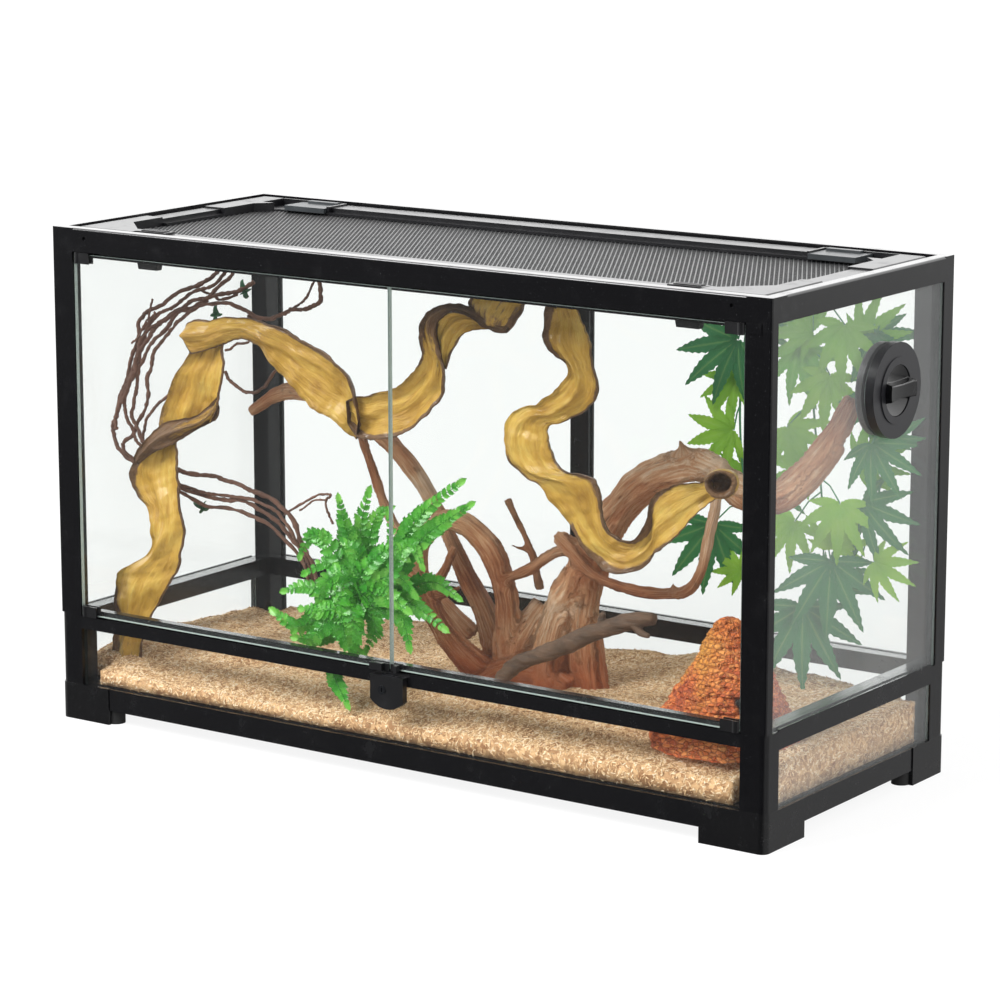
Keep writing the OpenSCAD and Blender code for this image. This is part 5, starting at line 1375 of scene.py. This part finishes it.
for n, (depth, flat, reach) in enumerate(fronds):
    entries = [[x / 1000, (depth + 3.0 * math.sin(j * 1.1 + n)) / 1000, z / 1000, 0]
               for j, (x, z) in enumerate(flat)]
    if n != behind_pane:
        entries.insert(0, [*((crown + Vector(entries[0][:3])) / 2), 0])
        entries.insert(0, [*crown, 0])
    path = [Vector(p[:3]) for p in smoothed(entries, 7)]
    ribs.append([(p, 0.0009 * (1 - 0.6 * i / len(path))) for i, p in enumerate(path)])
    total = sum((b - a).length for a, b in zip(path, path[1:]))
    count = max(8, int(total / leaflet_gap))
    for k in range(count):
        t = (k + 0.5) / count
        spot = t * (len(path) - 1)
        i = min(len(path) - 2, int(spot))
        place = path[i].lerp(path[i + 1], spot - i)
        ahead = (path[i + 1] - path[i]).normalized()
        grow = reach / 1000 * min(1, 0.35 + 2.2 * t) * (1 - t ** 3 * 0.72)
        toward = Vector((0.35 + 0.25 * math.sin(n), -0.85, 0.25 + 0.3 * math.cos(n * 2)))
        out = (toward - ahead * toward.dot(ahead)).normalized()
        for hand in (-1, 1):
            lean = math.radians(62 - 22 * t + luck.uniform(-7, 7)) * hand
            way = Matrix.Rotation(lean, 3, out) @ ahead
            lift = Matrix.Rotation(math.radians(luck.uniform(-16, 16)), 3, way) @ out
            if n == behind_pane:
                way.y *= 0.2
                lift = Vector((0.05, -1, 0.05))
            axes = frame_of(way, lift)
            size = grow * luck.uniform(0.88, 1.12)
            leaf_spots.append((place, axes, (size, size * 1.15, size),
                               luck.random() * 0.6 + 0.4 * t))
    tip = frame_of(path[-1] - path[-2], Vector((0.3, -1, 0.2)))
    leaf_spots.append((path[-1], tip, (reach / 1400,) * 3, 0.9))
fern = set_out("fern_leaflets", leaflet, leaf_spots, fern_finish)
bpy.data.objects.remove(leaflet)
fern_ribs = rods_along("fern_ribs", ribs, 6, fern_finish)
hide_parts("fern")
for piece in (fern, fern_ribs):
    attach(piece, "tank")

# ---- hanging plant --------------------------------------------------------------------
# Printed cloth leaves on three soft green stems that hang from a fourth one along the top
# of the rear right corner. Each leaf has seven saw-edged fingers with a sunk, pale rib.


def finger(points, faces, turn, length, wide):
    """One finger of a leaf, in the plane z = 0, folded a little along its rib."""
    teeth = 18
    faces += sheet_faces(len(points), teeth, 2)
    for i in range(teeth + 1):
        t = i / teeth
        half = wide * (math.sin(math.pi * t ** 0.85) ** 0.9) * (1 - 0.15 * t)
        tooth = (0.11 if i % 2 else -0.07) * wide if 0 < i < teeth else 0
        for hand in (-1, 0, 1):
            x = t * length + (0.012 * hand * hand if i % 2 == 0 else 0)
            y = hand * max(0.0, half + tooth)
            z = 0.10 * wide * abs(hand) + 0.10 * length * t * (1 - t) * 2 - 0.12 * t * t * length
            cosine, sine = math.cos(turn), math.sin(turn)
            points.append((x * cosine - y * sine, x * sine + y * cosine, z))


# the fingers of a leaf that is 1 long: turn from the middle one in degrees, and length
fingers = [(0, 1.0), (28, 0.94), (-28, 0.94), (58, 0.8), (-58, 0.8), (92, 0.52), (-92, 0.52)]
points, faces = [], []
for degrees, length in fingers:
    finger(points, faces, math.radians(degrees), length, 0.115 * length ** 0.5)
broad_leaf = piece_of("broad_leaf", points, faces)
rib = broad_leaf.data.attributes.new("rib", "FLOAT", "POINT")
rib.data.foreach_set("value", [1.0 if i % 3 == 1 else 0.0 for i in range(len(points))])
plant_finish, s = finish("plant_leaf")
rib = s.marked("rib")
paleness = s.marked("tone") * 0.85 + s.noise(45.0, 4.0) * 0.3 - 0.08
colour = paleness.ramp((0.0, "2b6f47"), (0.35, "3c8a46"), (0.55, "5fa634"), (0.8, "8cc23a"),
                       (1.0, "b4d64e"))
colour = (rib ** 9.0 * 0.3).between(colour, rgb("9cc46a"))
weave = s.noise(900.0, 2.0)
leafy = s.node("BsdfPrincipled", Base_Color=colour, Roughness=0.5 + weave * 0.15,
               Normal=s.node("Bump", Strength=0.3, Distance=0.0006,
                             Height=weave + rib * 0.5))
surface(s, s.node("MixShader", _0=0.3, _1=leafy,
                  _2=s.node("BsdfTranslucent", Color=colour)))
# x, y and z of the stalk's end in mm, turn of the middle finger, length, tone
leaves = [
    (288, 118, 396, -91, 60, 0.72), (273, 120, 350, -95, 56, 0.80),
    (336, 124, 390, -55, 60, 0.15), (232, 118, 300, -45, 52, 0.78),
    (290, 112, 239, -85, 54, 0.85), (332, 122, 240, -40, 62, 0.12),
    (282, 112, 186, -85, 72, 0.10), (256, 110, 142, -84, 76, 0.08),
    (243, 116, 217, -120, 50, 0.82), (283, 116, 197, 70, 48, 0.88),
    (317, 120, 294, -50, 56, 0.18), (184, 112, 374, -139, 68, 0.06),
    (182, 110, 293, -160, 56, 0.84), (163, 108, 206, -98, 68, 0.12),
    (192, 112, 167, 190, 34, 0.85), (180, 116, 340, -120, 44, 0.8),
    (300, 128, 420, 40, 52, 0.70), (252, 126, 405, 160, 56, 0.66),
    (238, 128, 372, -70, 58, 0.60), (322, 130, 342, -100, 52, 0.3),
    (252, 126, 262, 170, 54, 0.74), (300, 128, 275, 20, 52, 0.66),
    (270, 130, 165, 20, 48, 0.2), (330, 116, 190, -20, 44, 0.86),
    (206, 124, 398, 60, 50, 0.2), (212, 124, 246, -60, 44, 0.3),
    (196, 122, 250, 150, 40, 0.74), (346, 126, 300, 60, 40, 0.2),
]
stem_tops = [(0.196, 0.120, 0.432), (0.262, 0.126, 0.432), (0.318, 0.128, 0.432)]
stem_ends = [0.135, 0.120, 0.180]
glass_right, glass_back, under_lid = 0.3645, 0.1450, 0.4290
leaf_spots, stems = [], []
for x, y, z, turn, length, tone in leaves:
    place = Vector((x / 1000, y / 1000, z / 1000))
    a = math.radians(turn)
    ahead = Vector((math.cos(a), luck.uniform(-0.28, 0.02), math.sin(a)))
    out = Vector((luck.uniform(-0.1, 0.5), -1, luck.uniform(-0.1, 0.4)))
    out = (out - ahead.normalized() * out.dot(ahead.normalized())).normalized()
    size = length / 1000
    axes = frame_of(ahead, out)
    # a leaf whose tips would touch the glass or the lid hangs a little further in
    tips = [place + axes @ Vector((math.cos(math.radians(degrees)) * r,
                                   math.sin(math.radians(degrees)) * r, drop * r)) * size
            for drop in (-0.12, 0.05) for degrees, r in fingers]
    for k, most in enumerate((glass_right, glass_back, under_lid)):
        place[k] -= max(0, max(tip[k] for tip in tips) - most)
    leaf_spots.append((place, axes, (size, size, size), tone))
stem_steps, thick_stem, stem_taper = 25, 0.0013, 0.0006
for n, (top, end_z) in enumerate(zip(stem_tops, stem_ends)):
    path = []
    for i in range(stem_steps + 1):
        t = i / stem_steps
        path.append(Vector((top[0] - 0.012 * math.sin(t * 5 + n) - 0.01 * t,
                            top[1] + 0.004 * math.sin(t * 7 + n),
                            top[2] + (end_z - top[2]) * t)))
    stems.append([(p, thick_stem - stem_taper * i / stem_steps)
                  for i, p in enumerate(path)])
    # every leaf's stalk leaves the nearest stem a little above it
    for spot in leaf_spots:
        place = spot[0]
        near = min(path, key=lambda p: (p - place - Vector((0, 0, 0.02))).length)
        if min(range(3), key=lambda m: abs(stem_tops[m][0] - place.x)) == n:
            middle = (near + place) / 2 + Vector((0, 0, 0.004))
            stems.append([(near, 0.0008), (middle, 0.0007), (place, 0.0007)])
top_stem = [(0.190, 0.120, 0.430), (0.225, 0.128, 0.4325), (0.262, 0.128, 0.4315),
            (0.322, 0.128, 0.4315)]
stems.append([(Vector(p), thick_stem) for p in top_stem])
plant = set_out("hanging_leaves", broad_leaf, leaf_spots, plant_finish)
bpy.data.objects.remove(broad_leaf)
stem_finish, s = finish("plant_stem")
line = s.noise(120.0, 3.0)
surface(s, s.node("BsdfPrincipled", Base_Color=line.between(rgb("2c6b4a"), rgb("4f9a66")),
                  Roughness=0.45 + line * 0.2))
stalks = rods_along("plant_stems", stems, 7, stem_finish)
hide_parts("leaf_plant")
for piece in (plant, stalks):
    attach(piece, "tank")
